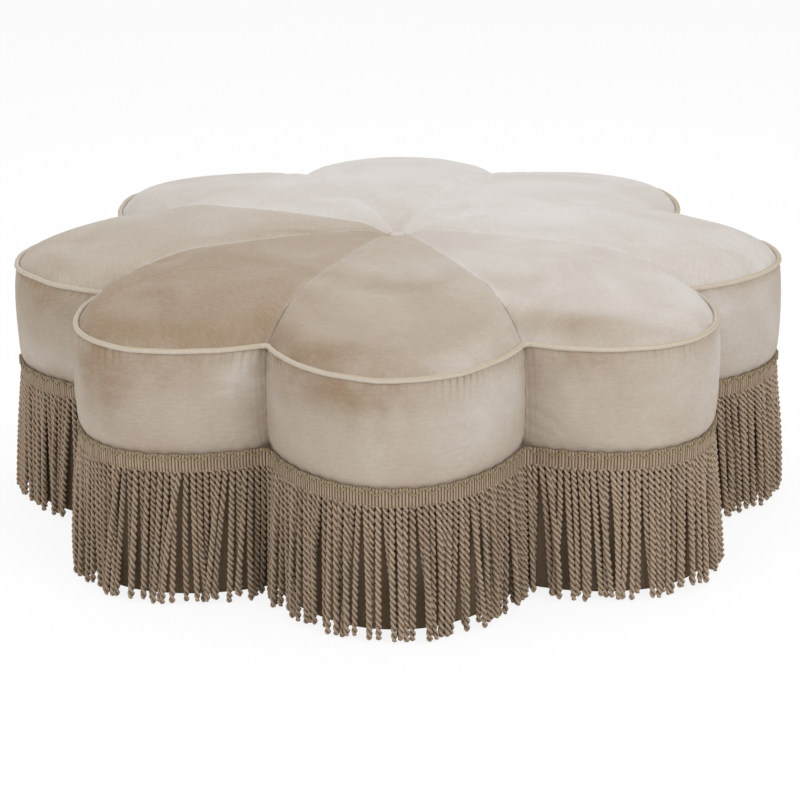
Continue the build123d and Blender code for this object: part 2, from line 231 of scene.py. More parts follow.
def outline_radius(theta, inset):
    """Distance from the middle to the outline set in by inset, at theta from a lobe's axis."""
    turn = np.abs(np.asarray(theta, float))
    tip = TIP_ARC_R - np.asarray(inset, float)
    blend = np.arctan2(tip * math.sin(BLEND_TURN), TIP_X + tip * math.cos(BLEND_TURN))
    tip_along = TIP_X * np.cos(turn)
    on_tip = tip_along + np.sqrt(np.maximum(tip**2 - TIP_X**2 + tip_along**2, 0.0))
    flank = FLANK_R - np.asarray(inset, float)
    flank_along = FLANK_X * np.cos(turn) + FLANK_Y * np.sin(turn)
    under = flank**2 - FLANK_X**2 - FLANK_Y**2 + flank_along**2
    on_flank = flank_along + np.sqrt(np.maximum(under, 0.0))
    return np.where(turn <= blend, on_tip, on_flank)


def rim_square(theta, step=0.001):
    """Share of a distance out from the middle that counts square to the outline."""
    rise = (outline_radius(theta + step, 0.0) - outline_radius(theta - step, 0.0)) / (2 * step)
    return 1.0 / np.hypot(1.0, rise / outline_radius(theta, 0.0))


def rounded_radius(theta, inset, bend):
    """Outline whose notches are rounded outwards by a bend of that radius."""
    turn = np.abs(np.asarray(theta, float))
    flank = FLANK_R - np.asarray(inset, float)
    hub = outline_radius(HALF, inset - bend)
    share = flank / (flank + bend)
    touch_x = FLANK_X + (hub * math.cos(HALF) - FLANK_X) * share
    touch_y = FLANK_Y + (hub * math.sin(HALF) - FLANK_Y) * share
    off = HALF - turn
    near = hub * np.cos(off) - np.sqrt(np.maximum(bend**2 - (hub * np.sin(off)) ** 2, 0.0))
    return np.where(turn > np.arctan2(touch_y, touch_x), near, outline_radius(turn, inset))


def fringe_radius(theta, inset):
    """Outline of the fringe, which runs through the notches in a soft bend."""
    inset = np.asarray(inset, float)
    return rounded_radius(theta, inset, np.maximum(FRINGE_BEND + inset - HEADER_OUT, FRINGE_BEND_MIN))


class LobeTrack:
    """Length along one lobe's outline at an inset, and the angle at each length."""

    def __init__(self, inset, bend=0.0, steps=1200):
        self.angles = np.linspace(-HALF, HALF, steps + 1)
        radius = rounded_radius(self.angles, inset, bend)
        x, y = radius * np.cos(self.angles), radius * np.sin(self.angles)
        self.lengths = np.concatenate([[0.0], np.cumsum(np.hypot(np.diff(x), np.diff(y)))])
        self.total = float(self.lengths[-1])

    def angle(self, length):
        """Angle from the lobe's axis at a length from its first notch."""
        return np.interp(length, self.lengths, self.angles)

    def length(self, angle):
        """Length from the first notch at an angle from the lobe's axis."""
        return np.interp(angle, self.angles, self.lengths)

    def columns(self, count):
        """Angles of evenly spaced columns of a ring of lobes, as one row."""
        return self.angle(np.linspace(0.0, self.total, count + 1)[:-1])[None, :]


WELT_TRACK = LobeTrack(0.0)


def welt_columns(count, crowding):
    """Angles of columns along a lobe's welt, closer together towards the notches."""
    share = np.linspace(-1.0, 1.0, count)
    share = np.sign(share) * (1.0 - (1.0 - np.abs(share)) ** crowding)
    return WELT_TRACK.angle((share + 1.0) / 2 * WELT_TRACK.total)[None, :]


def in_lobe(theta, radius, z, k):
    """Points of lobe k from angle to its axis, distance from the middle and height."""
    turn = theta + lobe_turn(k)
    z = np.broadcast_to(z, np.shape(turn * radius))
    return np.stack([radius * np.cos(turn), radius * np.sin(turn), z], axis=-1)


def polar_in_lobe(points, k):
    """Distance from the middle, and angle to lobe k's axis, of points of that lobe."""
    turn = np.arctan2(points[:, 1], points[:, 0]) - lobe_turn(k)
    theta = (turn + math.pi) % (2 * math.pi) - math.pi
    return np.hypot(points[:, 0], points[:, 1]), np.clip(theta, -HALF, HALF)


# Forms


def ripple(x, wavelength, rng, waves=5):
    """Uneven smooth waves along x, about -1 to 1."""
    total = np.zeros(np.shape(x))
    for _ in range(waves):
        length = wavelength * rng.uniform(*RIPPLE_SPREAD)
        total = total + np.sin(2 * math.pi * (x / length + rng.random()))
    return total / math.sqrt(waves)


def part_of(distance, reach):
    """0 at no distance, 1 from the reach on."""
    return np.clip(distance / reach, 0.0, 1.0)


def fall(distance, reach):
    """1 at no distance, falling off over a reach."""
    return np.exp(-distance / reach)


def hump(distance, reach):
    """1 at no distance, falling off to both sides over a reach."""
    return np.exp(-((distance / reach) ** 2))


def brushed(marks, k, u, v, whole=1.0):
    """Painted sheen and shade of the pile's marks on lobe k: the marks' first places are shares of a whole.
    """
    tones = 0.0
    for lobe, u_at, v_at, u_reach, v_reach, tone in marks:
        if lobe == k:
            tones = tones + tone * hump(u - u_at * whole, u_reach) * hump(v - v_at, v_reach)
    return tones


def swell_of(theta):
    """1 on a petal's axis, 0 at its seams."""
    return 1.0 - (theta / HALF) ** 2


def header_drop(theta, k):
    """How far the header hangs below its plain height."""
    return HEADER_SET + HEADER_DROP[k] * swell_of(theta)


def crown_height(theta, radius):
    """Height of the cushion's top above the floor."""
    swell = swell_of(theta)
    rise = SEAM_RISE + (PETAL_RISE - SEAM_RISE) * swell
    crest = outline_radius(theta, 0.0) - SEAM_SHOULDER - (PETAL_SHOULDER - SEAM_SHOULDER) * swell
    rim = outline_radius(theta, PETAL_INSET)
    outer = radius >= crest
    run = np.where(outer, rim - crest, crest - CENTRE_HOLE_R)
    drop = np.where(outer, rise, rise - CENTRE_RISE)
    bend = (run**2 + drop**2) / (2 * drop)
    full = MIDDLE_FULL * (1.0 - np.exp(-((radius / MIDDLE_START) ** 3)))
    full = full * np.clip(1.0 - radius / MIDDLE_END, 0.0, 1.0)
    return WELT_Z + rise - bend + np.sqrt(np.maximum(bend**2 - (radius - crest) ** 2, 0.0)) + full


def arc_inset(z, top, mid, foot):
    """Inset at height z on the arc through three (inset, height) points."""
    (ax, ay), (bx, by), (cx, cy) = top, mid, foot
    d = 2 * (ax * (by - cy) + bx * (cy - ay) + cx * (ay - by))
    a, b, c = ax * ax + ay * ay, bx * bx + by * by, cx * cx + cy * cy
    ux = (a * (by - cy) + b * (cy - ay) + c * (ay - by)) / d
    uy = (a * (cx - bx) + b * (ax - cx) + c * (bx - ax)) / d
    return ux - np.sqrt(np.maximum((ax - ux) ** 2 + (ay - uy) ** 2 - (z - uy) ** 2, 0.0))


def side_inset(z):
    """Inset of the cushion's side at height z."""
    z = np.asarray(z, float)
    bulge = arc_inset(z, SIDE_TOP, SIDE_BULGE, SIDE_TUCK)
    tuck = arc_inset(z, SIDE_TUCK, SIDE_TUCK_MID, SIDE_FOOT)
    return np.where(z >= SIDE_TUCK[1], bulge, np.where(z >= SIDE_FOOT[1], tuck, SIDE_FOOT[0]))


def unit(vectors):
    """Vectors of length 1."""
    return vectors / np.linalg.norm(vectors, axis=1, keepdims=True)


def upright_frame(path, turn):
    """Directions out of the pouf and to the right, square to a path at those angles."""
    ahead = unit(np.gradient(path, axis=0))
    facing = np.stack([np.cos(turn), np.sin(turn), 0.0 * turn], axis=-1)
    right = unit(np.cross(facing, ahead))
    return np.cross(ahead, right), right


def ring_angles(sides):
    """Angles of the points of a ring."""
    return np.linspace(0.0, 2 * math.pi, sides, endpoint=False)


def ring_points(path, radius, first, second, angle):
    """Points round a path: the angle counts from the first direction to the second."""
    angle = np.broadcast_to(angle, (len(path), np.shape(angle)[-1]))[..., None]
    ring = np.cos(angle) * first[:, None] + np.sin(angle) * second[:, None]
    return path[:, None] + np.reshape(radius, (-1, 1, 1)) * ring


# Meshes


def grid_quads(rows, columns, close_columns=False):
    """Faces of a grid of points, row after row."""
    across = columns if close_columns else columns - 1
    i, j = np.meshgrid(np.arange(rows - 1), np.arange(across), indexing="ij")
    right = (j + 1) % columns
    quads = [i * columns + j, i * columns + right, (i + 1) * columns + right, (i + 1) * columns + j]
    return np.stack(quads, axis=-1).reshape(-1, 4)


def tube_quads(rings, sides):
    """Outward faces of a tube of rings with both ends closed."""
    body = grid_quads(rings, sides, True)[:, ::-1]
    fan = np.array([[0, i, i + 1, i + 2] for i in range(1, sides - 1, 2)])
    return np.concatenate([body, fan, fan[:, ::-1] + (rings - 1) * sides])


def new_object(name, data):
    """Object in the scene."""
    obj = bpy.data.objects.new(name, data)
    bpy.context.scene.collection.objects.link(obj)
    return obj


def new_piece(name, points, quads):
    """Object with a mesh of smooth faces."""
    mesh = bpy.data.meshes.new(name)
    mesh.vertices.add(points.size // 3)
    mesh.vertices.foreach_set("co", np.ascontiguousarray(points, np.float32).ravel())
    mesh.loops.add(quads.size)
    mesh.loops.foreach_set("vertex_index", np.ascontiguousarray(quads, np.int32).ravel())
    mesh.polygons.add(len(quads))
    mesh.polygons.foreach_set("loop_start", np.arange(0, quads.size, 4, dtype=np.int32))
    mesh.update(calc_edges=True)
    mesh.validate()
    mesh.shade_smooth()
    return new_object(name, mesh)


def points_of(mesh):
    """Vertex places as an array."""
    co = np.empty(len(mesh.vertices) * 3, np.float32)
    mesh.vertices.foreach_get("co", co)
    return co.reshape(-1, 3).astype(float)


def set_points(mesh, points):
    """Moves the vertices."""
    mesh.vertices.foreach_set("co", np.ascontiguousarray(points, np.float32).ravel())
    mesh.update()


def add_values(mesh, **values):
    """Stores one number a vertex under each name, for the material."""
    for name, value in values.items():
        layer = mesh.attributes.new(name, "FLOAT", "POINT")
        layer.data.foreach_set("value", np.ascontiguousarray(value, np.float32).ravel())


def thicken(obj, thickness, smooth=False):
    """Gives a sheet one subdivision, if wanted, and its thickness inwards."""
    if smooth:
        subdivide = obj.modifiers.new("smooth", "SUBSURF")
        subdivide.levels = subdivide.render_levels = 1
        subdivide.boundary_smooth = "PRESERVE_CORNERS"
    solidify = obj.modifiers.new("thickness", "SOLIDIFY")
    solidify.thickness = thickness
    solidify.offset = -1.0
    depsgraph = bpy.context.evaluated_depsgraph_get()
    mesh = bpy.data.meshes.new_from_object(obj.evaluated_get(depsgraph))
    obj.modifiers.clear()
    obj.data = mesh
    mesh.shade_smooth()
    return mesh


def puff(objects, pinned, pressure, stretch, cap):
    """Swells pinned cloth sheets by air pressure, together, and keeps the result within cap."""
    scene = bpy.context.scene
    for obj in objects:
        group = obj.vertex_groups.new(name="sewn")
        group.add([int(i) for i in np.flatnonzero(pinned)], 1.0, "REPLACE")
        cloth = obj.modifiers.new("cloth", "CLOTH")
        for name, value in CLOTH_SETTINGS.items():
            setattr(cloth.settings, name, value)
        cloth.settings.uniform_pressure_force = pressure
        cloth.settings.shrink_min = -stretch
        cloth.settings.effector_weights.gravity = 0.0
        cloth.collision_settings.use_collision = False
        cloth.collision_settings.use_self_collision = False
        cloth.point_cache.frame_start = 1
        cloth.point_cache.frame_end = CLOTH_FRAMES
    for frame_number in range(1, CLOTH_FRAMES + 1):
        scene.frame_set(frame_number)
    depsgraph = bpy.context.evaluated_depsgraph_get()
    for obj in objects:
        start = points_of(obj.data)
        move = points_of(obj.evaluated_get(depsgraph).data) - start
        length = np.linalg.norm(move, axis=1, keepdims=True)
        move *= np.minimum(1.0, cap / np.maximum(length, 1e-9))
        obj.modifiers.clear()
        obj.vertex_groups.clear()
        set_points(obj.data, start + move)
    scene.frame_set(1)


# Materials


def linear(srgb):
    """Scene colour with alpha from a colour as it is seen on screen."""
    return (*(c / 12.92 if c <= 0.04045 else ((c + 0.055) / 1.055) ** 2.4 for c in srgb), 1.0)


class NodeTree:
    """Small helper that adds nodes to a tree and joins them."""

    def __init__(self, tree):
        self.tree = tree

    def add(self, kind, inputs=None, **settings):
        """New node: settings are its properties, inputs its sockets by name or number."""
        node = self.tree.nodes.new(kind)
        for name, value in settings.items():
            setattr(node, name, value)
        self.put(node, inputs or {})
        return node

    def put(self, node, inputs):
        """Links outputs to a node's sockets, or sets their values."""
        for key, value in inputs.items():
            if isinstance(value, bpy.types.NodeSocket):
                self.tree.links.new(value, node.inputs[key])
            else:
                node.inputs[key].default_value = value

    def math(self, operation, *values, clamp=False):
        """Output of a Math node."""
        node = self.add("ShaderNodeMath", dict(enumerate(values)), operation=operation, use_clamp=clamp)
        return node.outputs[0]

    def weigh(self, *terms):
        """Sum of values, each times its weight."""
        total = 0.0
        for value, weight in terms:
            total = self.math("MULTIPLY_ADD", value, weight, total)
        return total

    def swing(self, value, strength):
        """Value about its middle, times a strength."""
        return self.math("MULTIPLY", self.math("SUBTRACT", value, 0.5), strength)

    def mix(self, factor, a, b):
        """Colour between a and b."""
        node = self.add("ShaderNodeMix", data_type="RGBA")
        self.put(node, {0: factor, 6: a, 7: b})
        return node.outputs[2]

    def value(self, name):
        """Number stored on the mesh under a name."""
        return self.add("ShaderNodeAttribute", attribute_name=name).outputs["Fac"]

    def place(self, scale=(1.0, 1.0, 1.0)):
        """Place on the object in metres, scaled along its axes."""
        coords = self.add("ShaderNodeTexCoord").outputs["Object"]
        node = self.add("ShaderNodeVectorMath", {0: coords, 1: scale}, operation="MULTIPLY")
        return node.outputs[0]

    def flat(self, given, across, along):
        """Place on the cloth, scaled in its two directions."""
        scaled = {
            0: self.math("MULTIPLY", given["Across"], across),
            1: self.math("MULTIPLY", given["Along"], along),
        }
        return self.add("ShaderNodeCombineXYZ", scaled).outputs[0]

    def noise(self, vector, scale, detail=3.0, distortion=0.0):
        """Noise value at a vector."""
        sockets = {"Vector": vector, "Scale": scale, "Detail": detail, "Distortion": distortion}
        return self.add("ShaderNodeTexNoise", sockets).outputs["Fac"]

    def spread(self, value, low, high):
        """Stretches the range low to high over 0 to 1."""
        sockets = {"Value": value, "From Min": low, "From Max": high}
        return self.add("ShaderNodeMapRange", sockets, clamp=True).outputs[0]

    def effect(self, name, **inputs):
        """Tone and height of a shared effect, on the cloth as stored on the mesh."""
        node = self.add("ShaderNodeGroup", inputs, node_tree=bpy.data.node_groups[name])
        if "Across" in node.inputs:
            self.put(node, {"Across": self.value("across"), "Along": self.value("along")})
        return node.outputs["Tone"], node.outputs["Height"]


def shared_group(name, **inputs):
    """New shader node group with named number sockets, and outputs for a tone and a height."""
    tree = bpy.data.node_groups.new(name, "ShaderNodeTree")
    for key, default in inputs.items():
        socket = tree.interface.new_socket(key, in_out="INPUT", socket_type="NodeSocketFloat")
        socket.default_value = default
    for key in ("Tone", "Height"):
        tree.interface.new_socket(key, in_out="OUTPUT", socket_type="NodeSocketFloat")
    nodes = NodeTree(tree)
    return nodes, nodes.add("NodeGroupInput").outputs, nodes.add("NodeGroupOutput")


def make_groups():
    """Builds the shared effects once: pile, yarn, weave and wood grain."""
    if "velvet_pile" in bpy.data.node_groups:
        return
    spot = {"Across": 0.0, "Along": 0.0}

    nodes, given, out = shared_group("velvet_pile", **spot, Fine=900.0)
    streak = nodes.noise(nodes.flat(given, 85.0, 330.0), 1.0, 5.0, 0.7)
    cross = nodes.noise(nodes.flat(given, 240.0, 110.0), 1.0)
    fuzz = nodes.noise(nodes.place(), given["Fine"], 2.0)
    tone = nodes.weigh((streak, 0.60), (cross, 0.22), (fuzz, 0.18))
    nodes.put(out, {"Tone": tone, "Height": nodes.weigh((fuzz, 1.0), (tone, 0.6))})

    nodes, given, out = shared_group("twisted_yarn", **spot, Fibre=1.0)
    fibre = nodes.noise(nodes.flat(given, 1500.0, 170.0), given["Fibre"])
    blotch = nodes.noise(nodes.place(), 60.0, 2.0)
    nodes.put(out, {"Tone": nodes.weigh((fibre, 0.65), (blotch, 0.35)), "Height": fibre})

    nodes, given, out = shared_group("plain_weave", **spot, Threads=900.0)
    rate = nodes.math("MULTIPLY", given["Threads"], 2 * math.pi)
    warp = nodes.math("SINE", nodes.math("MULTIPLY", given["Across"], rate))
    weft = nodes.math("SINE", nodes.math("MULTIPLY", given["Along"], rate))
    slub = nodes.noise(nodes.flat(given, 420.0, 120.0), 1.0)
    height = nodes.weigh((nodes.math("MULTIPLY", warp, weft), 0.3), (slub, 1.0))
    nodes.put(out, {"Tone": slub, "Height": height})

    nodes, given, out = shared_group("wood_grain", Rings=60.0)
    grain = nodes.noise(nodes.place((0.08, 1.0, 1.0)), given["Rings"], 5.0, 0.6)
    pores = nodes.noise(nodes.place((0.05, 1.0, 1.0)), 500.0)
    nodes.put(out, {"Tone": nodes.weigh((grain, 0.7), (pores, 0.3)), "Height": pores})


def new_material(name):
    """Material with its shader, and the helper for its nodes."""
    make_groups()
    material = bpy.data.materials.new(name)
    material.use_nodes = True
    return material, NodeTree(material.node_tree), material.node_tree.nodes["Principled BSDF"]


def finish(nodes, shader, height, depth, strength, sockets):
    """Sets the shader's sockets by name, and its normal from a height."""
    bump = nodes.add("ShaderNodeBump", {"Height": height, "Distance": depth, "Strength": strength})
    nodes.put(shader, {**sockets, "Normal": bump.outputs["Normal"]})


def material_velvet():
    """Cut velvet with painted sheen and shade: pale where the pile lies towards the light, tan where it is
    brushed back.
    """
    if "cut_velvet" in bpy.data.materials:
        return bpy.data.materials["cut_velvet"]
    look = bpy.context.scene.pouf_velvet
    material, nodes, shader = new_material("cut_velvet")
    tone, height = nodes.effect("velvet_pile", Fine=900.0)
    hand = nodes.swing(nodes.noise(nodes.place(), 8.0, 4.0, 0.8), look.hand)
    marks = nodes.math("ADD", hand, nodes.swing(tone, look.streak))
    nap = nodes.math("ADD", nodes.value("nap"), marks, clamp=True)
    colour = nodes.mix(nodes.spread(nap, 0.0, 0.5), linear(look.light), linear(look.half))
    sockets = {
        "Base Color": nodes.mix(nodes.spread(nap, 0.5, 1.0), colour, linear(look.dark)),
        "Roughness": nodes.spread(tone, -1.6, 0.75),
        "Specular IOR Level": 0.15,
        "Sheen Weight": 0.20,
        "Sheen Roughness": 0.40,
        "Sheen Tint": linear((0.97, 0.94, 0.90)),
    }
    finish(nodes, shader, height, 0.0006, 0.35, sockets)
    return material


def material_welt():
    """Pale bias-cut cloth over the piping cord."""
    look = bpy.context.scene.pouf_velvet
    material, nodes, shader = new_material("welt_cloth")
    tone, height = nodes.effect("plain_weave", Threads=900.0)
    body = nodes.mix(nodes.spread(tone, 0.25, 0.75), linear(look.welt), linear(look.welt_shade))
    sockets = {
        "Base Color": nodes.mix(nodes.value("seam"), body, linear(look.welt_seam)),
        "Roughness": nodes.spread(tone, -1.0, 1.0),
        "Specular IOR Level": 0.3,
        "Sheen Weight": 0.10,
    }
    finish(nodes, shader, height, 0.0003, 0.35, sockets)
    return material


def yarn_material(name, light, dark):
    """Matt twisted yarn: painted shade low in the twist, paler on its crowns."""
    if name in bpy.data.materials:
        return bpy.data.materials[name]
    material, nodes, shader = new_material(name)
    tone, height = nodes.effect("twisted_yarn", Fibre=1.0)
    depth = nodes.math("ADD", nodes.value("shade"), nodes.swing(tone, 0.9), clamp=True)
    sockets = {
        "Base Color": nodes.mix(depth, linear(light), linear(dark)),
        "Roughness": nodes.spread(tone, -2.0, 0.9),
        "Specular IOR Level": 0.2,
        "Sheen Weight": 0.08,
    }
    finish(nodes, shader, height, 0.0005, 0.6, sockets)
    return material


def cloth_material(name, light, dark, threads):
    """Plain woven cloth."""
    material, nodes, shader = new_material(name)
    weave, height = nodes.effect("plain_weave", Threads=threads)
    tone = nodes.weigh((weave, 0.5), (nodes.noise(nodes.place(), 9.0), 0.5))
    sockets = {
        "Base Color": nodes.mix(nodes.spread(tone, 0.3, 0.7), linear(light), linear(dark)),
        "Roughness": nodes.spread(tone, -2.0, 0.8),
        "Specular IOR Level": 0.2,
    }
    finish(nodes, shader, height, 0.0004, 0.5, sockets)
    return material


def wood_material(slot):
    """Raw wood with its grain."""
    name, light, dark, rings = WOOD_FINISHES[slot]
    material, nodes, shader = new_material(name)
    tone, height = nodes.effect("wood_grain", Rings=rings)
    sockets = {
        "Base Color": nodes.mix(nodes.spread(tone, 0.3, 0.7), linear(light), linear(dark)),
        "Roughness": nodes.spread(tone, -1.0, 1.0),
    }
    finish(nodes, shader, height, 0.0003, 0.4, sockets)
    return material


def cell_material(slot):
    """Foam, wadding, nylon, twine or plated steel: even texture of one scale."""
    name, light, dark, scale, metallic, roughness = CELL_FINISHES[slot]
    if name in bpy.data.materials:
        return bpy.data.materials[name]
    material, nodes, shader = new_material(name)
    cells = nodes.noise(nodes.place(), scale, 4.0)
    sockets = {
        "Base Color": nodes.mix(nodes.spread(cells, 0.3, 0.7), linear(light), linear(dark)),
        "Roughness": nodes.spread(cells, 0.5 - roughness, 2.0 - roughness),
        "Metallic": metallic,
    }
    finish(nodes, shader, cells, 0.0005, 0.5, sockets)
    return material


# Settings that a user would change


def colour_setting(name, description, default):
    """Colour property as it is seen on screen."""
    return FloatVectorProperty(
        name=name, description=description, default=default,
        subtype="COLOR_GAMMA", size=3, min=0.0, max=1.0,
    )


def number_setting(name, description, default, high=2.0, low=0.0, unit="NONE"):
    """Number property between two limits."""
    return FloatProperty(name=name, description=description, unit=unit, min=low, max=high, default=default)


def length_setting(name, description, default, high, low=0.0):
    """Length property in metres."""
    return number_setting(name, description, default, high, low, "LENGTH")


class PoufVelvetSettings(bpy.types.PropertyGroup):
    """Colours and sewing of the velvet cushion."""

    # The three velvet colours are one velvet in painted sheen and shade of its pile
    light: colour_setting("Velvet", "Velvet where the pile lies flat and pale", (0.872, 0.854, 0.838))
    half: colour_setting("Half-brushed velvet", "Velvet where the pile stands up", (0.758, 0.711, 0.659))
    dark: colour_setting("Brushed velvet", "Velvet where the pile is brushed back", (0.624, 0.535, 0.438))
    welt: colour_setting("Welt", "Cloth of the piping", (0.828, 0.788, 0.736))
    welt_shade: colour_setting(
        "Welt shade", "Cloth of the piping between its threads", (0.778, 0.732, 0.668),
    )
    welt_seam: colour_setting("Welt seam", "Where the piping is sewn in", (0.730, 0.650, 0.500))
    hand: number_setting("Hand marks", "Strength of the broad marks in the nap", 0.48)
    streak: number_setting("Streaks", "Strength of the fine streaks in the nap", 0.50)
    groove: length_setting("Seam depth", "How deep the seams lie between the petals", 0.0006, 0.01)
    pucker: length_setting("Pucker", "Height of the puckers along the sewn edges", 0.0007, 0.004)


class PoufFringeSettings(bpy.types.PropertyGroup):
    """Sizes and colours of the bullion fringe and the plinth behind it."""

    strands: IntProperty(
        name="Strands", description="Hanging strands on each lobe", min=20, max=60, default=54,
    )
    lay: length_setting("Lay", "Length of one full twist", 0.0192, 0.05, 0.005)
    ply: length_setting("Ply", "Radius of one of the two plies of a strand", 0.00252, 0.005, 0.001)
    flare: length_setting("Flare", "How far the strand ends stand out from the header", 0.0125, 0.03)
    stray: length_setting("Stray", "How far the strands lean to the side", 0.0070, 0.02)
    end: length_setting("End height", "Mean height of the strand ends above the floor", 0.0042, 0.1)
    # The two yarn colours are the yarn lit on its crowns and in painted shade low in the twist
    light: colour_setting("Yarn", "Yarn on the crowns of the twist", (0.722, 0.638, 0.549))
    dark: colour_setting("Yarn shade", "Yarn low in the twist", (0.355, 0.276, 0.200))
    header: colour_setting("Header yarn", "Yarn of the ribbed header", (0.720, 0.640, 0.550))
    # The two gimp colours are the gimp lit and in painted shade low in its twist
    gimp: colour_setting("Gimp", "Thin cord that waves along the header", (0.655, 0.600, 0.470))
    gimp_shade: colour_setting("Gimp shade", "Gimp low in its twist", (0.490, 0.430, 0.310))
    plinth: colour_setting("Plinth cloth", "Cloth behind the strands", (0.540, 0.465, 0.385))
    plinth_shade: colour_setting("Plinth shade", "Plinth cloth between its threads", (0.460, 0.388, 0.312))


class PoufStageSettings(bpy.types.PropertyGroup):
    """Floor and light."""

    floor: colour_setting("Floor", "Colour of the floor", (0.97, 0.97, 0.97))
    sky: number_setting("Room light", "Even light from all round", 0.50)
    key: number_setting("Key light", "Power of the large lamp", 37.5, 500.0, unit="POWER")


# Pieces


def dress(obj, material, slot, *nodes):
    """Finish, body and CAD nodes of a new piece."""
    obj.data.materials.clear()
    obj.data.materials.append(material)
    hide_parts(*nodes)
    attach(obj, "root")


def sewn_edges(shape, rows):
    """Points of a grid that are sewn down: those rows, and the first and last columns."""
    pinned = np.zeros(shape, bool)
    pinned[rows, :] = True
    pinned[:, [0, -1]] = True
    return pinned.ravel()


def make_velvet(operator, name, node, grids, pinned):
    """Swells eight velvet sheets by air, gives them thickness, sews them and dresses them."""
    sheets = []
    for lobe, points in zip(LOBE_NAMES, grids):
        quads = grid_quads(*points.shape[:2])[:, ::-1]
        sheets.append(new_piece(f"{name}_{lobe}", points, quads))
    puff(sheets, pinned, **operator.AIR)
    for k, sheet in enumerate(sheets):
        operator.sew(thicken(sheet, VELVET_T, True), k, bpy.context.scene.pouf_velvet)
        dress(sheet, material_velvet(), "velvet", f"{node}_{k + 1}")


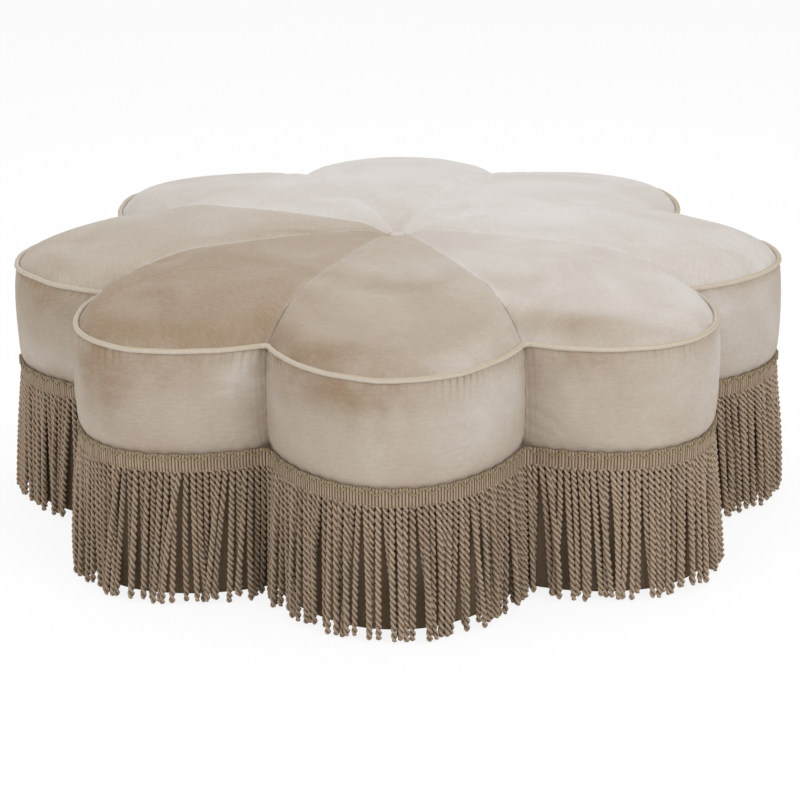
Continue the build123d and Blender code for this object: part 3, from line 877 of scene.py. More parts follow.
class POUF_OT_velvet_top(bpy.types.Operator):
    """Velvet petals of the top, swollen over the foam and sewn at their seams"""

    bl_idname = "pouf.velvet_top"
    bl_label = "Velvet top"

    ROWS = 60
    COLUMNS = 96
    ROW_CROWDING = 1.3
    COLUMN_CROWDING = 1.2
    SLACK = 0.005
    TUCK = 0.0014
    AIR = {"pressure": 1.5, "stretch": 0.004, "cap": 0.007}
    FILL = 0.85
    EDGE_REACH = 0.03
    FULL = 0.0066
    FULL_REACH = 0.085
    FULL_OFF_SEAM = 0.05
    SETTLED_REACH = 0.080
    SETTLED_START = 0.250
    GROOVE_REACH = 0.007
    DIMPLE = 0.0045
    DIMPLE_R = 0.024
    FOLDS = ((19, 0.0), (31, 1.0), (44, 2.2))
    STITCH = 0.018
    STITCH_REACH = 0.009
    GATHER = 0.016
    GATHER_REACH = 0.010
    GATHER_START = 0.003
    DRIFT = 0.0011
    DRIFT_WAVES = (0.21, 0.19)
    RIM_HIGHLIGHT_REACH = 0.006
    PALE_REACH = 0.003
    PALE_START = 0.10

    def execute(self, context):
        theta = welt_columns(self.COLUMNS, self.COLUMN_CROWDING)
        out = (1.0 - (1.0 - np.linspace(0.0, 1.0, self.ROWS)) ** self.ROW_CROWDING)[:, None]
        rim = outline_radius(theta, PETAL_INSET)
        radius = CENTRE_HOLE_R + (rim - CENTRE_HOLE_R) * out
        slack = self.SLACK * swell_of(theta) * np.sin(math.pi * out)
        height = crown_height(theta, radius) - slack * (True)
        radius[-1] += self.TUCK
        height[-1] -= self.TUCK
        grids = [in_lobe(theta, radius, height, k) for k in range(LOBES)]
        make_velvet(self, "petal", "velvet_petal", grids, sewn_edges(radius.shape, [0, -2, -1]))
        return {"FINISHED"}

    def sew(self, mesh, k, look):
        """Draws in the seams, puckers the sewn edges and paints the pile's sheen and shade."""
        rng = np.random.default_rng(100 + k)
        points = points_of(mesh)
        height = points[:, 2]
        radius, theta = polar_in_lobe(points, k)
        to_seam = radius * np.sin(HALF - np.abs(theta))
        to_rim = np.maximum(outline_radius(theta, PETAL_INSET) - radius, 0.0) * rim_square(theta)
        off_rim = part_of(to_rim, self.EDGE_REACH)
        off_seam = part_of(to_seam, self.EDGE_REACH)
        full = part_of(to_rim, self.FULL_REACH)
        swell = RIM_FULL[k] * np.sqrt(part_of(to_seam, self.FULL_OFF_SEAM))
        curve = 27 / 4 * full * (1.0 - full) ** 2
        height += self.FULL * curve * swell
        sunk = part_of(to_rim, self.SETTLED_REACH) * part_of(radius, self.SETTLED_START)
        height -= PETAL_SETTLED[k] * swell_of(theta) * np.sin(0.5 * math.pi * sunk) ** 2
        height -= look.groove * fall(to_seam, self.GROOVE_REACH) * off_rim
        height -= self.DIMPLE * hump(radius, self.DIMPLE_R)
        turn = theta + lobe_turn(k)
        folds = sum(np.cos(count * turn + start) for count, start in self.FOLDS)
        height += 0.8 * look.pucker * folds * fall(radius, self.DIMPLE_R)
        seams = (np.random.default_rng(150 + seam % LOBES) for seam in (k, k + 1))
        stitch = np.where(theta < 0.0, *(ripple(radius, self.STITCH, seam) for seam in seams))
        gather = ripple(theta * TIP_R, self.GATHER, rng) * fall(to_rim, self.GATHER_REACH)
        gather *= part_of(to_rim, self.GATHER_START) * off_seam
        height += look.pucker * (0.5 * stitch * fall(to_seam, self.STITCH_REACH) * off_rim + gather)
        x_wave, y_wave = self.DRIFT_WAVES
        drift = ripple(points[:, 0], x_wave, rng) * ripple(points[:, 1], y_wave, rng)
        height += self.DRIFT * drift * off_rim * off_seam
        set_points(mesh, points)
        # Painted sheen and shade of the pile, from the petal's table and its marks
        middle, left, rim = PETAL_NAP_SHEEN[k]
        across = -theta / HALF
        out = radius / outline_radius(theta, 0.0)
        nap = middle + left * across + rim * (2.0 * out - 1.0)
        uneven_out = out + 0.008 * ripple(across, 0.70, rng)
        uneven_across = across + 0.10 * ripple(out, 0.14, rng)
        nap += brushed(PETAL_SHEEN_MARKS, k, uneven_out, uneven_across)
        # Painted shade in the dimple round the middle, and a painted highlight along the rim
        rim_highlight = 0.11 + 0.06 * ripple(theta * TIP_R, 0.05, rng)
        nap += 0.13 * hump(out, 0.17) - rim_highlight * fall(to_rim, self.RIM_HIGHLIGHT_REACH)
        # Painted light along the seams
        pale = np.where(theta < 0.0, SEAM_PAINTED_LIGHT[k], SEAM_PAINTED_LIGHT[(k + 1) % LOBES])
        nap -= pale * fall(to_seam, self.PALE_REACH) * part_of(radius, self.PALE_START)
        axis = lobe_turn(k)
        along = points[:, 0] * math.cos(axis) + points[:, 1] * math.sin(axis)
        across = points[:, 1] * math.cos(axis) - points[:, 0] * math.sin(axis)
        add_values(mesh, nap=nap, across=across, along=along + k)


class POUF_OT_velvet_sides(bpy.types.Operator):
    """Velvet panels round the side of the cushion, drawn in above the fringe"""

    bl_idname = "pouf.velvet_sides"
    bl_label = "Velvet sides"

    ROWS = 32
    COLUMNS = 160
    COLUMN_CROWDING = 1.15
    SLACK = 0.003
    LIP = 0.0016
    AIR = {"pressure": 3.0, "stretch": 0.012, "cap": 0.006}
    FILL = 0.9
    GATHER = 0.009
    GATHER_START = 0.003
    GATHER_REACH = 0.014
    GATHER_BY_NOTCH = 0.03
    FOOT_START = 0.012
    PINCH = 0.030
    PINCH_REACH = 0.010
    PLEAT = 0.0075
    PLEAT_LEAN = 0.03
    PLEAT_PLACE = 0.010
    PLEAT_REACH = 0.008
    SAG = 0.0010
    SAG_WAVES = (0.20, 0.16)
    SAG_START = 0.03
    CLOSE = 0.0016
    CLOSE_REACH = 0.003
    SHADE_BY_NOTCH = 0.018
    SHADE_BY_WELT = 0.010
    SHADE_BY_FOOT = 0.012

    def execute(self, context):
        theta = welt_columns(self.COLUMNS, self.COLUMN_CROWDING)
        levels = np.linspace(SIDE_TOP[1], SIDE_FOOT[1], self.ROWS - 3)
        height = np.concatenate([[SIDE_TOP[1] + self.LIP], levels, SIDE_HIDDEN])[:, None]
        part = part_of(height - SIDE_FOOT[1], SIDE_TOP[1] - SIDE_FOOT[1])
        slack = self.SLACK * np.sin(math.pi * part) * (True)
        radius = outline_radius(theta, side_inset(np.minimum(height, SIDE_TOP[1])) + slack)
        low = part_of(SIDE_BULGE[1] - height, SIDE_BULGE[1] - SIDE_FOOT[1])
        grids = [in_lobe(theta, radius, height - low * header_drop(theta, k), k) for k in range(LOBES)]
        make_velvet(self, "side", "velvet_boxing", grids, sewn_edges(radius.shape, [0, 1, -3, -2, -1]))
        return {"FINISHED"}

    def sew(self, mesh, k, look):
        """Pinches the notch seams, puckers the velvet under the welt and paints the pile's sheen and shade.
        """
        rng = np.random.default_rng(200 + k)
        points = points_of(mesh)
        height = points[:, 2]
        radius, theta = polar_in_lobe(points, k)
        along = WELT_TRACK.length(theta)
        to_seam = np.minimum(along, WELT_TRACK.total - along)
        below = SIDE_TOP[1] - height
        above = height - SIDE_FOOT[1] + header_drop(theta, k)
        off_edges = part_of(below, self.GATHER_START) * part_of(above, self.FOOT_START)
        amount = 0.25 + 0.8 * fall(to_seam, self.GATHER_BY_NOTCH)
        for lobe, spot, reach in PUCKERS:
            if lobe == k:
                amount += 1.5 * hump(along - spot * WELT_TRACK.total, reach)
        gather = ripple(along, self.GATHER, rng) * amount * fall(np.maximum(below, 0.0), self.GATHER_REACH)
        pinch = ripple(height, self.PINCH, rng) * fall(to_seam, self.PINCH_REACH)
        pleat = ripple(along + self.PLEAT_LEAN * height, self.PLEAT, rng)
        pleat *= hump(to_seam - self.PLEAT_PLACE, self.PLEAT_REACH)
        long_wave, tall_wave = self.SAG_WAVES
        sag = ripple(along, long_wave, rng) * ripple(height, tall_wave, rng)
        push = look.pucker * (gather + 0.7 * pinch + 0.6 * pleat)
        push += self.SAG * sag * part_of(to_seam, self.SAG_START)
        push += self.CLOSE * fall(to_seam, self.CLOSE_REACH)
        points[:, :2] *= (1.0 + push * off_edges / radius)[:, None]
        set_points(mesh, points)
        # Painted sheen and shade of the pile, with painted shade in the notches
        nap = SIDE_NAP_SHEEN[k] + 0.09 * fall(to_seam, self.SHADE_BY_NOTCH)
        # Painted shade under the welt
        nap += 0.10 * fall(np.maximum(below, 0.0), self.SHADE_BY_WELT)
        # Painted shade in the creases of the puckers and pleats
        nap += 0.14 * np.clip(-gather, 0.0, 2.0) + 0.10 * np.clip(-pleat, 0.0, 2.0)
        # Painted shade above the header
        nap += 0.10 * fall(np.maximum(above, 0.0), self.SHADE_BY_FOOT)
        # Patches of painted sheen and shade in the pile
        uneven_along = along + 0.008 * ripple(height, 0.028, rng)
        uneven_height = height + 0.005 * ripple(along, 0.045, rng)
        nap += brushed(SIDE_SHEEN_MARKS, k, uneven_along, uneven_height, WELT_TRACK.total)
        add_values(mesh, nap=nap, across=along + k * WELT_TRACK.total, along=height)


class POUF_OT_padding(bpy.types.Operator):
    """Foam crown and the wadding behind the sides, drawn in where the velvet is sewn down"""

    bl_idname = "pouf.padding"
    bl_label = "Padding"

    COLUMNS = 48
    CROWN_ROWS = 26
    CROWN_HOLE_R = CENTRE_HOLE_R + 0.004
    CROWN_UNDER = 0.0075
    CROWN_INSET = 0.011
    CROWN_FOOT = 0.3554
    CROWN_LEAST = 0.002
    CROWN_GROOVE = 0.0015
    CROWN_GROOVE_REACH = 0.010
    CROWN_UNEVEN = 0.0004
    WADDING_ROWS = 24
    WADDING_INSET = 0.0055
    WADDING_T = 0.0045
    WADDING_TOP = 0.366
    WADDING_FOOT = 0.236
    WADDING_UNEVEN = 0.0006

    def execute(self, context):
        theta = LobeTrack(self.CROWN_INSET).columns(self.COLUMNS)
        self.crown(theta)
        self.wadding(theta)
        return {"FINISHED"}

    def crown(self, theta):
        """Domed foam in one piece, with a hole for the twine."""
        rng = np.random.default_rng(900)
        rim = outline_radius(theta, self.CROWN_INSET)
        part = np.linspace(0.0, 1.0, self.CROWN_ROWS)[:, None]
        radius = self.CROWN_HOLE_R + (rim - self.CROWN_HOLE_R) * part
        to_seam = radius * np.sin(HALF - np.abs(theta))
        top = crown_height(theta, radius) - self.CROWN_UNDER
        top -= self.CROWN_GROOVE * fall(to_seam, self.CROWN_GROOVE_REACH)
        top = np.maximum(top, self.CROWN_FOOT + self.CROWN_LEAST)
        foot = np.full_like(top, self.CROWN_FOOT)
        both = np.concatenate([radius, radius[::-1]])
        shell = []
        for k in range(LOBES):
            height = np.concatenate([top + self.CROWN_UNEVEN * ripple(radius, 0.03, rng), foot])
            shell.append(in_lobe(theta, both, height, k))
        points = np.concatenate(shell, axis=1)
        rows, columns = points.shape[:2]
        quads = grid_quads(rows + 1, columns, True)[:, ::-1] % (rows * columns)
        crown = new_piece("foam_crown", points, quads)
        dress(crown, cell_material("foam"), "foam", "crown_foam")

    def wadding(self, theta):
        """Soft band between the foam and the velvet sides."""
        rng = np.random.default_rng(910)
        height = np.linspace(self.WADDING_TOP, self.WADDING_FOOT, self.WADDING_ROWS)[:, None]
        band = []
        for k in range(LOBES):
            fluff = self.WADDING_UNEVEN * ripple(height, 0.04, rng) * ripple(theta, 0.2, rng)
            inset = side_inset(height) + self.WADDING_INSET - fluff
            band.append(in_lobe(theta, outline_radius(theta, inset), height, k))
        points = np.concatenate(band, axis=1)
        wadding = new_piece("side_wadding", points, grid_quads(*points.shape[:2], True)[:, ::-1])
        thicken(wadding, self.WADDING_T)
        dress(wadding, cell_material("wadding"), "wadding", "boxing_wadding")


class POUF_OT_welt(bpy.types.Operator):
    """Piping cord along the top edge, turning tightly in the notches"""

    bl_idname = "pouf.welt"
    bl_label = "Welt"

    SIDES = 16
    STEP = 0.0028
    UNEVEN = 0.0005
    THICK = 0.96
    LOWER_SEAM = (1.70 * math.pi, 0.30)
    INNER_SEAM = (0.35 * math.pi, 0.46)

    def execute(self, context):
        rng = np.random.default_rng(300)
        path = self.path()
        run = np.concatenate([[0.0], np.cumsum(np.linalg.norm(np.diff(path, axis=0), axis=1))])
        out = path / np.hypot(path[:, 0], path[:, 1])[:, None]
        path[:, :2] += self.UNEVEN * ripple(run, 0.12, rng)[:, None] * out[:, :2]
        path[:, 2] += self.UNEVEN * ripple(run, 0.11, rng)
        radius = WELT_R * (self.THICK + 0.025 * ripple(run, 0.020, rng))
        ahead = unit(np.roll(path, -1, axis=0) - np.roll(path, 1, axis=0))
        across = unit(np.cross(ahead, np.array([0.0, 0.0, 1.0])))
        angle = ring_angles(self.SIDES)
        points = ring_points(path, radius, across, np.cross(across, ahead), angle)
        quads = grid_quads(len(path) + 1, self.SIDES, True)[:, ::-1] % (len(path) * self.SIDES)
        welt = new_piece("welt", points, quads)
        lobes = run * LOBES / run[-1]
        gold = np.interp(lobes - 0.5, np.arange(-1, LOBES + 1), (WELT_GOLD[-1], *WELT_GOLD, WELT_GOLD[0]))
        turned = 1.2 * np.clip(0.5 - lobes % 1.0, 0.0, 0.5) + 0.10 * ripple(run, 0.35, rng)
        (lower_at, lower_reach), (inner_at, inner_reach) = self.LOWER_SEAM, self.INNER_SEAM
        lower = hump(angle - lower_at, lower_reach)
        inner = hump(angle - inner_at - turned[:, None], inner_reach)
        seam = 0.9 * gold[:, None] * np.maximum(lower, inner)
        angle = np.tile(angle, len(path))
        add_values(welt.data, along=np.repeat(run, self.SIDES), across=angle * WELT_R, seam=seam)
        dress(welt, material_welt(), "welt", "welt_cord")
        return {"FINISHED"}

    def path(self):
        """Points along the welt: lobe arcs joined by a tight bend in each notch."""
        track = LobeTrack(0.0, WELT_BEND_R)
        theta = track.columns(int(track.total / self.STEP))[0]
        radius = rounded_radius(theta, 0.0, WELT_BEND_R)
        return np.concatenate([in_lobe(theta, radius, WELT_Z, k) for k in range(LOBES)])


class POUF_OT_button(bpy.types.Operator):
    """Covered button that holds the meeting seams down"""

    bl_idname = "pouf.button"
    bl_label = "Button"

    RADIUS = 0.0125
    HEIGHT = 0.0062
    FOOT = 0.0046
    CLOTH_T = 0.0010
    ROWS = 16
    COLUMNS = 48

    def execute(self, context):
        rng = np.random.default_rng(400)
        foot = WELT_Z + CENTRE_RISE - self.FOOT
        angle = ring_angles(self.COLUMNS)[None, :]
        part = np.linspace(0.02, 1.0, self.ROWS)[:, None]
        bulge = np.sin(np.minimum(part * math.pi * 0.62, math.pi))
        folds = 1.0 + 0.03 * ripple(angle * self.RADIUS, 0.007, rng) * part**3
        radius = self.RADIUS * bulge * folds
        height = foot + self.HEIGHT * np.cos(part * math.pi / 2) + 0.0 * angle
        points = np.stack([radius * np.cos(angle), radius * np.sin(angle), height], axis=-1)
        button = new_piece("centre_button", points, grid_quads(self.ROWS, self.COLUMNS, True)[:, ::-1])
        mesh = thicken(button, self.CLOTH_T)
        spot = points_of(mesh)
        # Painted shade towards the button's foot, paler on its top
        nap = np.clip(0.36 - (spot[:, 2] - foot) / self.HEIGHT * 0.22, 0.0, 1.0)
        add_values(mesh, nap=nap, across=spot[:, 0], along=spot[:, 1])
        dress(button, material_velvet(), "velvet", "tuft_button")
        return {"FINISHED"}


class POUF_OT_fringe_header(bpy.types.Operator):
    """Ribbed woven header of the fringe, with a thin gimp cord waving along it"""

    bl_idname = "pouf.fringe_header"
    bl_label = "Fringe header"

    ROWS = 12
    RIB_COLUMNS = 6
    RIB = 0.0015
    RIB_ROUND = 0.55
    GROOVE_ROUND = 0.7
    STAND = 0.0004
    FOOT = 0.001
    SCALLOP = 0.0007
    UNEVEN = 0.0004
    WAVE = 0.0268
    GIMP_R = 0.00135
    GIMP_SIDES = 8
    GIMP_STEPS = 18
    GIMP_SWING = 0.0044
    GIMP_DROP = 0.0044
    GIMP_STAND = 0.0024
    GIMP_UNEVEN = 0.0005
    GIMP_TWIST = 0.0011

    def execute(self, context):
        fringe = context.scene.pouf_fringe
        track = LobeTrack(HEADER_OUT, FRINGE_BEND)
        ribs = 2 * fringe.strands
        waves = round(track.total / self.WAVE)
        along = np.linspace(0.0, track.total, ribs * self.RIB_COLUMNS + 1)[None, :]
        theta = track.angle(along)
        scallop = self.SCALLOP * np.cos(2 * math.pi * waves * along / track.total)
        rib = self.RIB * np.abs(np.sin(math.pi * ribs * along / track.total)) ** self.RIB_ROUND
        up = np.linspace(0.0, 1.0, self.ROWS)[:, None]
        swell = 0.35 + 0.65 * part_of(up, 1 / 3) * part_of(1.0 - up, 1 / 4)
        yarn = yarn_material("header_yarn", fringe.header, fringe.dark)
        for k, lobe in enumerate(LOBE_NAMES):
            rng = np.random.default_rng(500 + k)
            drop = header_drop(theta, k)
            top = HEADER_TOP_Z - drop + scallop + self.UNEVEN * ripple(along, 0.05, rng)
            foot = HEADER_Z - self.FOOT - drop
            lift = self.UNEVEN * ripple(along, 0.04, rng)
            inset = HEADER_OUT - self.STAND - (rib + lift) * swell
            points = in_lobe(theta, fringe_radius(theta, inset), foot + (top - foot) * up, k)
            header = new_piece(f"fringe_header_{lobe}", points, grid_quads(*points.shape[:2]))
            mesh = thicken(header, HEADER_IN - HEADER_OUT)
            spot = points_of(mesh)
            here = track.length(polar_in_lobe(spot, k)[1])
            groove = 1.0 - np.abs(np.sin(math.pi * ribs * here / track.total)) ** self.GROOVE_ROUND
            # Painted shade in the grooves between the ribs, with a random tone along them
            shade = 0.06 + 1.15 * groove + 0.09 * ripple(here, 0.010, rng)
            add_values(mesh, shade=shade, along=here, across=spot[:, 2])
            dress(header, yarn, "fringe", f"bullion_fringe_{k + 1}")
            self.gimp(k, track, waves, fringe)
        return {"FINISHED"}

    def gimp(self, k, track, waves, fringe):
        """Thin cord that waves along the top of the header."""
        rng = np.random.default_rng(550 + k)
        along = np.linspace(0.0, track.total, waves * self.GIMP_STEPS + 1)
        theta = track.angle(along)
        wave = self.GIMP_SWING * np.cos(2 * math.pi * waves * along / track.total)
        height = HEADER_TOP_Z - header_drop(theta, k) - self.GIMP_DROP + wave
        height += self.GIMP_UNEVEN * ripple(along, 0.06, rng)
        path = in_lobe(theta, fringe_radius(theta, HEADER_OUT - self.GIMP_STAND), height, k)
        facing, right = upright_frame(path, theta + lobe_turn(k))
        angle = ring_angles(self.GIMP_SIDES)
        points = ring_points(path, self.GIMP_R, -right, facing, angle)
        gimp = new_piece(f"fringe_gimp_{LOBE_NAMES[k]}", points, tube_quads(len(path), self.GIMP_SIDES))
        along = np.repeat(along, self.GIMP_SIDES)
        angle = np.tile(angle, len(path))
        # Painted shade that winds along the twist
        shade = 0.35 + 0.2 * np.sin(along / self.GIMP_TWIST + angle)
        add_values(gimp.data, shade=shade, along=along, across=angle)
        yarn = yarn_material("gimp_yarn", fringe.gimp, fringe.gimp_shade)
        dress(gimp, yarn, "fringe", f"bullion_fringe_{k + 1}")


class POUF_OT_fringe_strands(bpy.types.Operator):
    """Twisted strands that hang from the header and crowd each other"""

    bl_idname = "pouf.fringe_strands"
    bl_label = "Fringe strands"

    LEVELS = 13
    STEP = 0.0019
    SIDES = 6
    TIP = np.array([0.0016, 0.0009, 0.0003, 0.0])
    TIP_START = 0.0024
    START = 0.0015
    BEHIND = 0.0012
    SEAM_GAP = 0.0044
    RECESSED = 0.22
    RECESS = 0.0050
    UNEVEN_OUT = 0.0036
    UNEVEN_END = 0.0030
    END_RANGE = (0.0018, 0.018)
    CROWDING = 60
    ROOM = 1.60
    OUT_ROOM = 0.006
    PLY_APART = 0.84
    CLOSING = 0.005
    KNOT_AT = 0.006
    KNOT_REACH = 0.004

    def execute(self, context):
        fringe = context.scene.pouf_fringe
        track = LobeTrack(HEADER_OUT, FRINGE_BEND)
        yarn = yarn_material("strand_yarn", fringe.light, fringe.dark)
        for k, lobe in enumerate(LOBE_NAMES):
            rng = np.random.default_rng(600 + k)
            plies = []
            for along, out, height in zip(*(levels.T for levels in self.hang(track, fringe, k, rng))):
                plies += self.strand(track, along, out, height, k, fringe, rng)
            quads = []
            start = 0
            for ply in plies:
                rings = len(ply["points"])
                quads.append(tube_quads(rings, self.SIDES) + start)
                start += rings * self.SIDES
            values = {key: np.concatenate([ply[key] for ply in plies]) for key in plies[0]}
            points = values.pop("points")
            strands = new_piece(f"fringe_strands_{lobe}", points, np.concatenate(quads))
            add_values(strands.data, **values)
            dress(strands, yarn, "fringe", f"bullion_fringe_{k + 1}")
        return {"FINISHED"}

    def hang(self, track, fringe, k, rng):
        """Place of each strand along the lobe, out from the header and in height, level by level."""
        count = fringe.strands
        down = np.linspace(0.0, 1.0, self.LEVELS)[:, None]
        spots = np.linspace(self.SEAM_GAP, track.total - self.SEAM_GAP, count)[None, :]
        lean = fringe.stray * (0.95 * rng.normal(size=(1, count)) + 0.65 * ripple(spots, 0.045, rng))
        bow = np.sin(math.pi * down * rng.uniform(0.8, 1.7, (1, count)))
        along = spots + lean * down**1.15 + 0.45 * fringe.stray * rng.normal(size=(1, count)) * bow
        stand = fringe.flare * (1.0 + (FLARE_SHARE[k] - 1.0) * swell_of(track.angle(spots)))
        out = stand * down**0.75 + self.UNEVEN_OUT * np.sqrt(down) * rng.normal(size=(1, count))
        out -= self.RECESS * np.sqrt(down) * (rng.random((1, count)) < self.RECESSED)
        room = self.ROOM * (1.0 + self.PLY_APART) * fringe.ply
        for _ in range(self.CROWDING):
            for gap in (1, 2, 3):
                dx = along[1:, gap:] - along[1:, :-gap]
                dy = out[1:, gap:] - out[1:, :-gap]
                apart = np.maximum(np.hypot(dx, dy), 1e-6)
                push = 0.25 * np.maximum(room - apart, 0.0) / apart
                along[1:, gap:] += push * dx
                along[1:, :-gap] -= push * dx
                out[1:, gap:] += push * dy
                out[1:, :-gap] -= push * dy
            along = np.clip(along, 0.5 * self.SEAM_GAP, track.total - 0.5 * self.SEAM_GAP)
            out = np.clip(out, 0.0, stand + self.OUT_ROOM)
            for levels in (along, out):
                levels[1:-1] = 0.5 * levels[1:-1] + 0.25 * (levels[:-2] + levels[2:])
        ends = np.clip(fringe.end + self.UNEVEN_END * rng.normal(size=(1, count)), *self.END_RANGE)
        start = HEADER_Z + self.START - header_drop(track.angle(spots), k)
        return along, out, start + (ends - start) * down

    def strand(self, track, along, out, height, k, fringe, rng):
        """Points and yarn values of the two plies of a strand, ring after ring."""
        length = float(height[0] - height[-1])
        rings = int(length / self.STEP)
        body = np.linspace(0.0, length - self.TIP_START, rings - len(self.TIP))
        run = np.concatenate([body, length - self.TIP])
        level = np.linspace(0.0, length, self.LEVELS)
        theta = track.angle(np.interp(run, level, along))
        inset = HEADER_OUT + self.BEHIND - np.interp(run, level, out)
        path = in_lobe(theta, fringe_radius(theta, inset), height[0] - run, k)
        facing, right = upright_frame(path, theta + lobe_turn(k))
        size = rng.uniform(0.94, 1.07)
        to_end = length - run
        apart = self.PLY_APART * fringe.ply * size * np.sqrt(part_of(to_end, self.CLOSING))
        blunt = np.clip(1.0 - to_end / fringe.ply, 0.0, 0.97)
        knot = 1.0 + 0.08 * hump(to_end - self.KNOT_AT, self.KNOT_REACH)
        radius = fringe.ply * size * np.sqrt(1.0 - blunt**2) * knot
        lay = fringe.lay * rng.uniform(0.92, 1.09)
        twist = 2 * math.pi * run / lay + rng.uniform(0, 2 * math.pi) + 0.5 * ripple(run, 0.07, rng, 2)
        # The strand's random tone, with its lobe's painted shade
        tint_and_shade = STRAND_PAINTED_SHADE[k] + rng.normal() * 0.09
        angle = ring_angles(self.SIDES)
        # Painted shade in the crease where the two plies meet, paler on the crowns
        shade = 0.05 + 0.85 * (0.5 - 0.5 * np.cos(angle)) ** 1.2 + tint_and_shade
        plies = []
        for swing in (twist, twist + math.pi):
            side = np.cos(swing)[:, None] * facing + np.sin(swing)[:, None] * right
            spin = swing[:, None] + angle
            ply = {
                "points": ring_points(path + apart[:, None] * side, radius, facing, right, spin),
                "shade": np.tile(shade, (rings, 1)),
                "along": np.repeat(run[:, None], self.SIDES, axis=1) + rng.uniform(0, 5),
                "across": np.tile(np.abs(angle - math.pi) * fringe.ply, (rings, 1)),
            }
            plies.append(ply)
        return plies


class POUF_OT_plinth_cover(bpy.types.Operator):
    """Cloth stretched round the plinth behind the strands"""

    bl_idname = "pouf.plinth_cover"
    bl_label = "Plinth cover"

    ROWS = 24
    COLUMNS = 60
    BELOW = 0.0005
    EASE = 0.0004
    EASE_START = 0.03
    THREADS = 900.0

    def execute(self, context):
        fringe = context.scene.pouf_fringe
        rng = np.random.default_rng(700)
        track = LobeTrack(PLINTH_INSET)
        theta = track.columns(self.COLUMNS)
        along = track.length(theta)
        height = np.linspace(COVER_TOP_Z, BASE_Z - self.BELOW, self.ROWS)[:, None]
        band = []
        for k in range(LOBES):
            ease = self.EASE * np.abs(ripple(along + k * track.total, 0.16, rng) * ripple(height, 0.3, rng))
            ease *= part_of(np.minimum(along, track.total - along), self.EASE_START)
            band.append(in_lobe(theta, outline_radius(theta, PLINTH_INSET - ease), height, k))
        points = np.concatenate(band, axis=1)
        cover = new_piece("plinth_cloth", points, grid_quads(*points.shape[:2], True)[:, ::-1])
        mesh = thicken(cover, COVER_T)
        spot = points_of(mesh)
        add_values(mesh, across=np.arctan2(spot[:, 1], spot[:, 0]) * TIP_R, along=spot[:, 2])
        weave = cloth_material("plinth_weave", fringe.plinth, fringe.plinth_shade, self.THREADS)
        dress(cover, weave, "plinth_cloth", "plinth_cover")
        return {"FINISHED"}


class POUF_OT_dust_cover(bpy.types.Operator):
    """Thin black cloth under the base"""

    bl_idname = "pouf.dust_cover"
    bl_label = "Dust cover"

    RINGS = 40
    COLUMNS = 40
    FIRST_RING = 0.004
    SAG = 0.0004
    SAG_START = 0.1
    SAG_WAVE = 0.25
    BELOW = 0.0001
    CLOTH_T = 0.0006
    BLACK = (0.13, 0.13, 0.13)
    DEEP_BLACK = (0.07, 0.07, 0.07)
    THREADS = 700.0

    def execute(self, context):
        rng = np.random.default_rng(800)
        track = LobeTrack(DUST_INSET)
        theta = track.columns(self.COLUMNS)
        part = np.linspace(self.FIRST_RING, 1.0, self.RINGS)[:, None]
        radius = outline_radius(theta, DUST_INSET) * part
        points = np.concatenate([in_lobe(theta, radius, 0.0, k) for k in range(LOBES)], axis=1)
        waves = ripple(points[..., 0], self.SAG_WAVE, rng) * ripple(points[..., 1], self.SAG_WAVE, rng)
        sag = np.minimum(self.SAG * (waves - 1.0), 0.0) * part_of(1.0 - part, self.SAG_START)
        points[..., 2] = BASE_Z - self.CLOTH_T - self.BELOW + sag
        cover = new_piece("dust_cloth", points, grid_quads(*points.shape[:2], True))
        mesh = thicken(cover, self.CLOTH_T)
        spot = points_of(mesh)
        add_values(mesh, across=spot[:, 0], along=spot[:, 1])
        cambric = cloth_material("black_cambric", self.BLACK, self.DEEP_BLACK, self.THREADS)
        dress(cover, cambric, "cambric", "dust_cover")
        return {"FINISHED"}


class POUF_OT_frame_finishes(bpy.types.Operator):
    """Finishes of the boards, padding and fastenings that stay as they are in the frame"""

    bl_idname = "pouf.frame_finishes"
    bl_label = "Frame finishes"

    def execute(self, context):
        finishes = {slot: wood_material(slot) for slot in WOOD_FINISHES}
        finishes.update({slot: cell_material(slot) for slot in CELL_FINISHES})
        for part in frame["record"]["subparts"]:
            material = finishes.get(part["material_slot"])
            if material is not None:
                slots = frame["nodes"][part["node"]].data.materials
                slots.clear()
                slots.append(material)
        return {"FINISHED"}


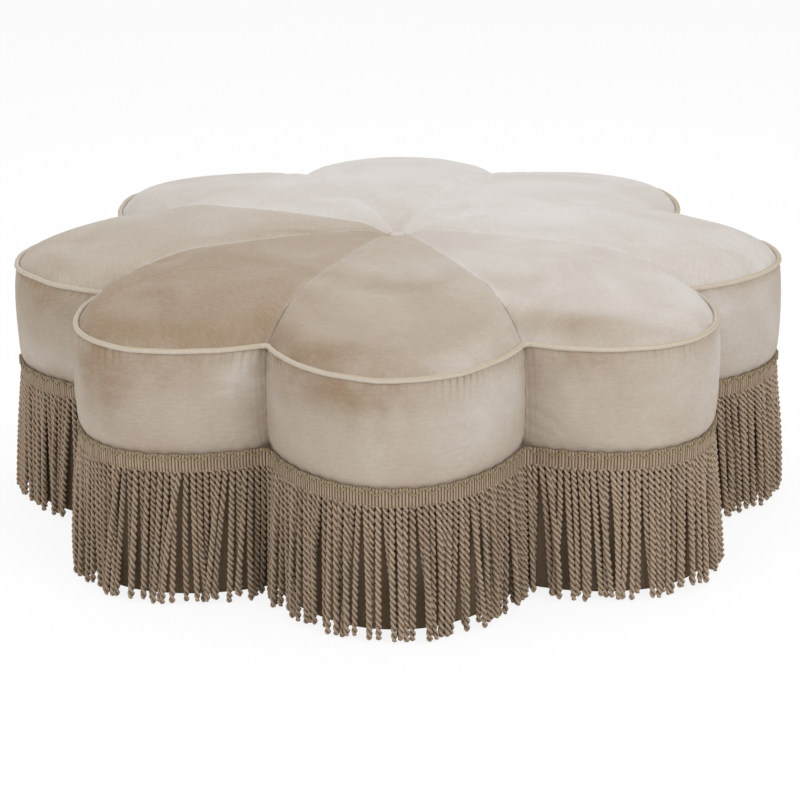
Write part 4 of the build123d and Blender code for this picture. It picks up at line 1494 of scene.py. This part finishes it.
class POUF_OT_stage(bpy.types.Operator):
    """Pale floor, soft light and the camera"""

    bl_idname = "pouf.stage"
    bl_label = "Stage"

    CAMERA_AT = (0.03887, -3.8806, 1.5091)
    CAMERA_DOWN = 0.33896
    CAMERA_TURN = 0.00951
    CAMERA_ROLL = -0.00836
    CAMERA_LENS = 117.0
    CAMERA_SENSOR = 36.0
    CAMERA_FAR = 50.0
    FLOOR_HALF = 9.0
    FLOOR_SHADE = (0.96, 0.96, 0.96)
    FLOOR_GLOW = 1.05
    FLOOR_GLOW_SHARE = 0.83
    BACKDROP = 0.97
    WHITE = (1.0, 1.0, 1.0, 1.0)
    LAMP_AIM = Vector((0.0, 0.0, 0.2))

    # Lamps: name, place, size, share of the key light's power
    LAMPS = (
        ("key_lamp", (1.9, -2.6, 1.9), 2.2, 1.00),
        ("fill_lamp", (-2.4, -2.2, 1.8), 2.4, 0.71),
        ("top_lamp", (0.2, 0.8, 3.0), 2.6, 0.75),
    )

    def execute(self, context):
        scene = context.scene
        scene.view_settings.view_transform = "Standard"
        self.floor(scene.pouf_stage)
        self.room(scene, scene.pouf_stage)
        self.lamps(scene.pouf_stage)
        self.camera(scene)
        return {"FINISHED"}

    def floor(self, look):
        """Wide pale floor that shows nearly white to the camera and keeps the shadow."""
        corners = self.FLOOR_HALF * np.array([(-1, -1, 0), (1, -1, 0), (1, 1, 0), (-1, 1, 0)])
        floor = new_piece("floor", corners, np.array([[0, 1, 2, 3]]))
        material, nodes, shader = new_material("floor_paint")
        grain = nodes.noise(nodes.place(), 3.0, 2.0)
        sockets = {
            "Base Color": nodes.mix(grain, linear(look.floor), linear(self.FLOOR_SHADE)),
            "Roughness": 0.9,
            "Specular IOR Level": 0.1,
        }
        nodes.put(shader, sockets)
        glow = nodes.add("ShaderNodeEmission", {"Color": self.WHITE, "Strength": self.FLOOR_GLOW})
        seen = nodes.math("MULTIPLY", self.seen(nodes), self.FLOOR_GLOW_SHARE)
        mix = nodes.add("ShaderNodeMixShader", {0: seen, 1: shader.outputs[0], 2: glow.outputs[0]})
        nodes.put(material.node_tree.nodes["Material Output"], {"Surface": mix.outputs[0]})
        floor.data.materials.append(material)

    def seen(self, nodes):
        """1 for rays that show the backdrop, straight, mirrored or through glass."""
        path = nodes.add("ShaderNodeLightPath").outputs
        mirrored = nodes.math("MAXIMUM", path["Is Glossy Ray"], path["Is Transmission Ray"])
        return nodes.math("MAXIMUM", path["Is Camera Ray"], mirrored)

    def room(self, scene, look):
        """Even light from all round, as pale to the camera as the floor."""
        world = bpy.data.worlds.new("room")
        world.use_nodes = True
        scene.world = world
        nodes = NodeTree(world.node_tree)
        sockets = {0: self.seen(nodes), 2: look.sky, 3: self.BACKDROP}
        strength = nodes.add("ShaderNodeMix", sockets, data_type="FLOAT").outputs[0]
        nodes.put(world.node_tree.nodes["Background"], {"Color": self.WHITE, "Strength": strength})

    def lamps(self, look):
        """Large soft lamps above, in front and to the sides."""
        for name, place, size, share in self.LAMPS:
            data = bpy.data.lights.new(name, "AREA")
            data.size = size
            data.energy = share * look.key
            lamp = new_object(name, data)
            lamp.location = place
            lamp.rotation_euler = (self.LAMP_AIM - lamp.location).to_track_quat("-Z", "Y").to_euler()

    def camera(self, scene):
        """Camera at the photograph's view."""
        data = bpy.data.cameras.new("camera")
        data.sensor_width = self.CAMERA_SENSOR
        data.lens = self.CAMERA_LENS
        data.clip_end = self.CAMERA_FAR
        scene.camera = new_object("camera", data)
        scene.camera.matrix_world = (
            Matrix.Translation(self.CAMERA_AT)
            @ Matrix.Rotation(self.CAMERA_TURN, 4, "Z")
            @ Matrix.Rotation(math.pi / 2 - self.CAMERA_DOWN, 4, "X")
            @ Matrix.Rotation(self.CAMERA_ROLL, 4, "Z")
        )


class POUF_PT_pieces(bpy.types.Panel):
    """Sidebar panel with the settings and the pieces"""

    bl_idname = "POUF_PT_pieces"
    bl_label = "Flower pouf"
    bl_space_type = "VIEW_3D"
    bl_region_type = "UI"
    bl_category = "Pouf"

    def draw(self, context):
        scene = context.scene
        for settings in (scene.pouf_velvet, scene.pouf_fringe, scene.pouf_stage):
            box = self.layout.box()
            for name in settings.__annotations__:
                box.prop(settings, name)
        for operator in OPERATORS:
            self.layout.operator(operator.bl_idname)


OPERATORS = (
    POUF_OT_stage,
    POUF_OT_frame_finishes,
    POUF_OT_plinth_cover,
    POUF_OT_dust_cover,
    POUF_OT_padding,
    POUF_OT_velvet_top,
    POUF_OT_velvet_sides,
    POUF_OT_welt,
    POUF_OT_button,
    POUF_OT_fringe_header,
    POUF_OT_fringe_strands,
)
SETTINGS = (PoufVelvetSettings, PoufFringeSettings, PoufStageSettings)
CLASSES = (*SETTINGS, *OPERATORS, POUF_PT_pieces)


def register():
    """Adds the classes and the scene's settings."""
    for cls in CLASSES:
        bpy.utils.register_class(cls)
    bpy.types.Scene.pouf_velvet = PointerProperty(type=PoufVelvetSettings)
    bpy.types.Scene.pouf_fringe = PointerProperty(type=PoufFringeSettings)
    bpy.types.Scene.pouf_stage = PointerProperty(type=PoufStageSettings)


def unregister():
    """Takes the classes and settings away."""
    del bpy.types.Scene.pouf_velvet
    del bpy.types.Scene.pouf_fringe
    del bpy.types.Scene.pouf_stage
    for cls in reversed(CLASSES):
        bpy.utils.unregister_class(cls)


def main():
    """Makes every piece."""
    register()
    bpy.ops.pouf.stage()
    bpy.ops.pouf.frame_finishes()
    bpy.ops.pouf.plinth_cover()
    bpy.ops.pouf.dust_cover()
    bpy.ops.pouf.padding()
    bpy.ops.pouf.velvet_top()
    bpy.ops.pouf.velvet_sides()
    bpy.ops.pouf.welt()
    bpy.ops.pouf.button()
    bpy.ops.pouf.fringe_header()
    bpy.ops.pouf.fringe_strands()


if __name__ == "__main__":
    main()
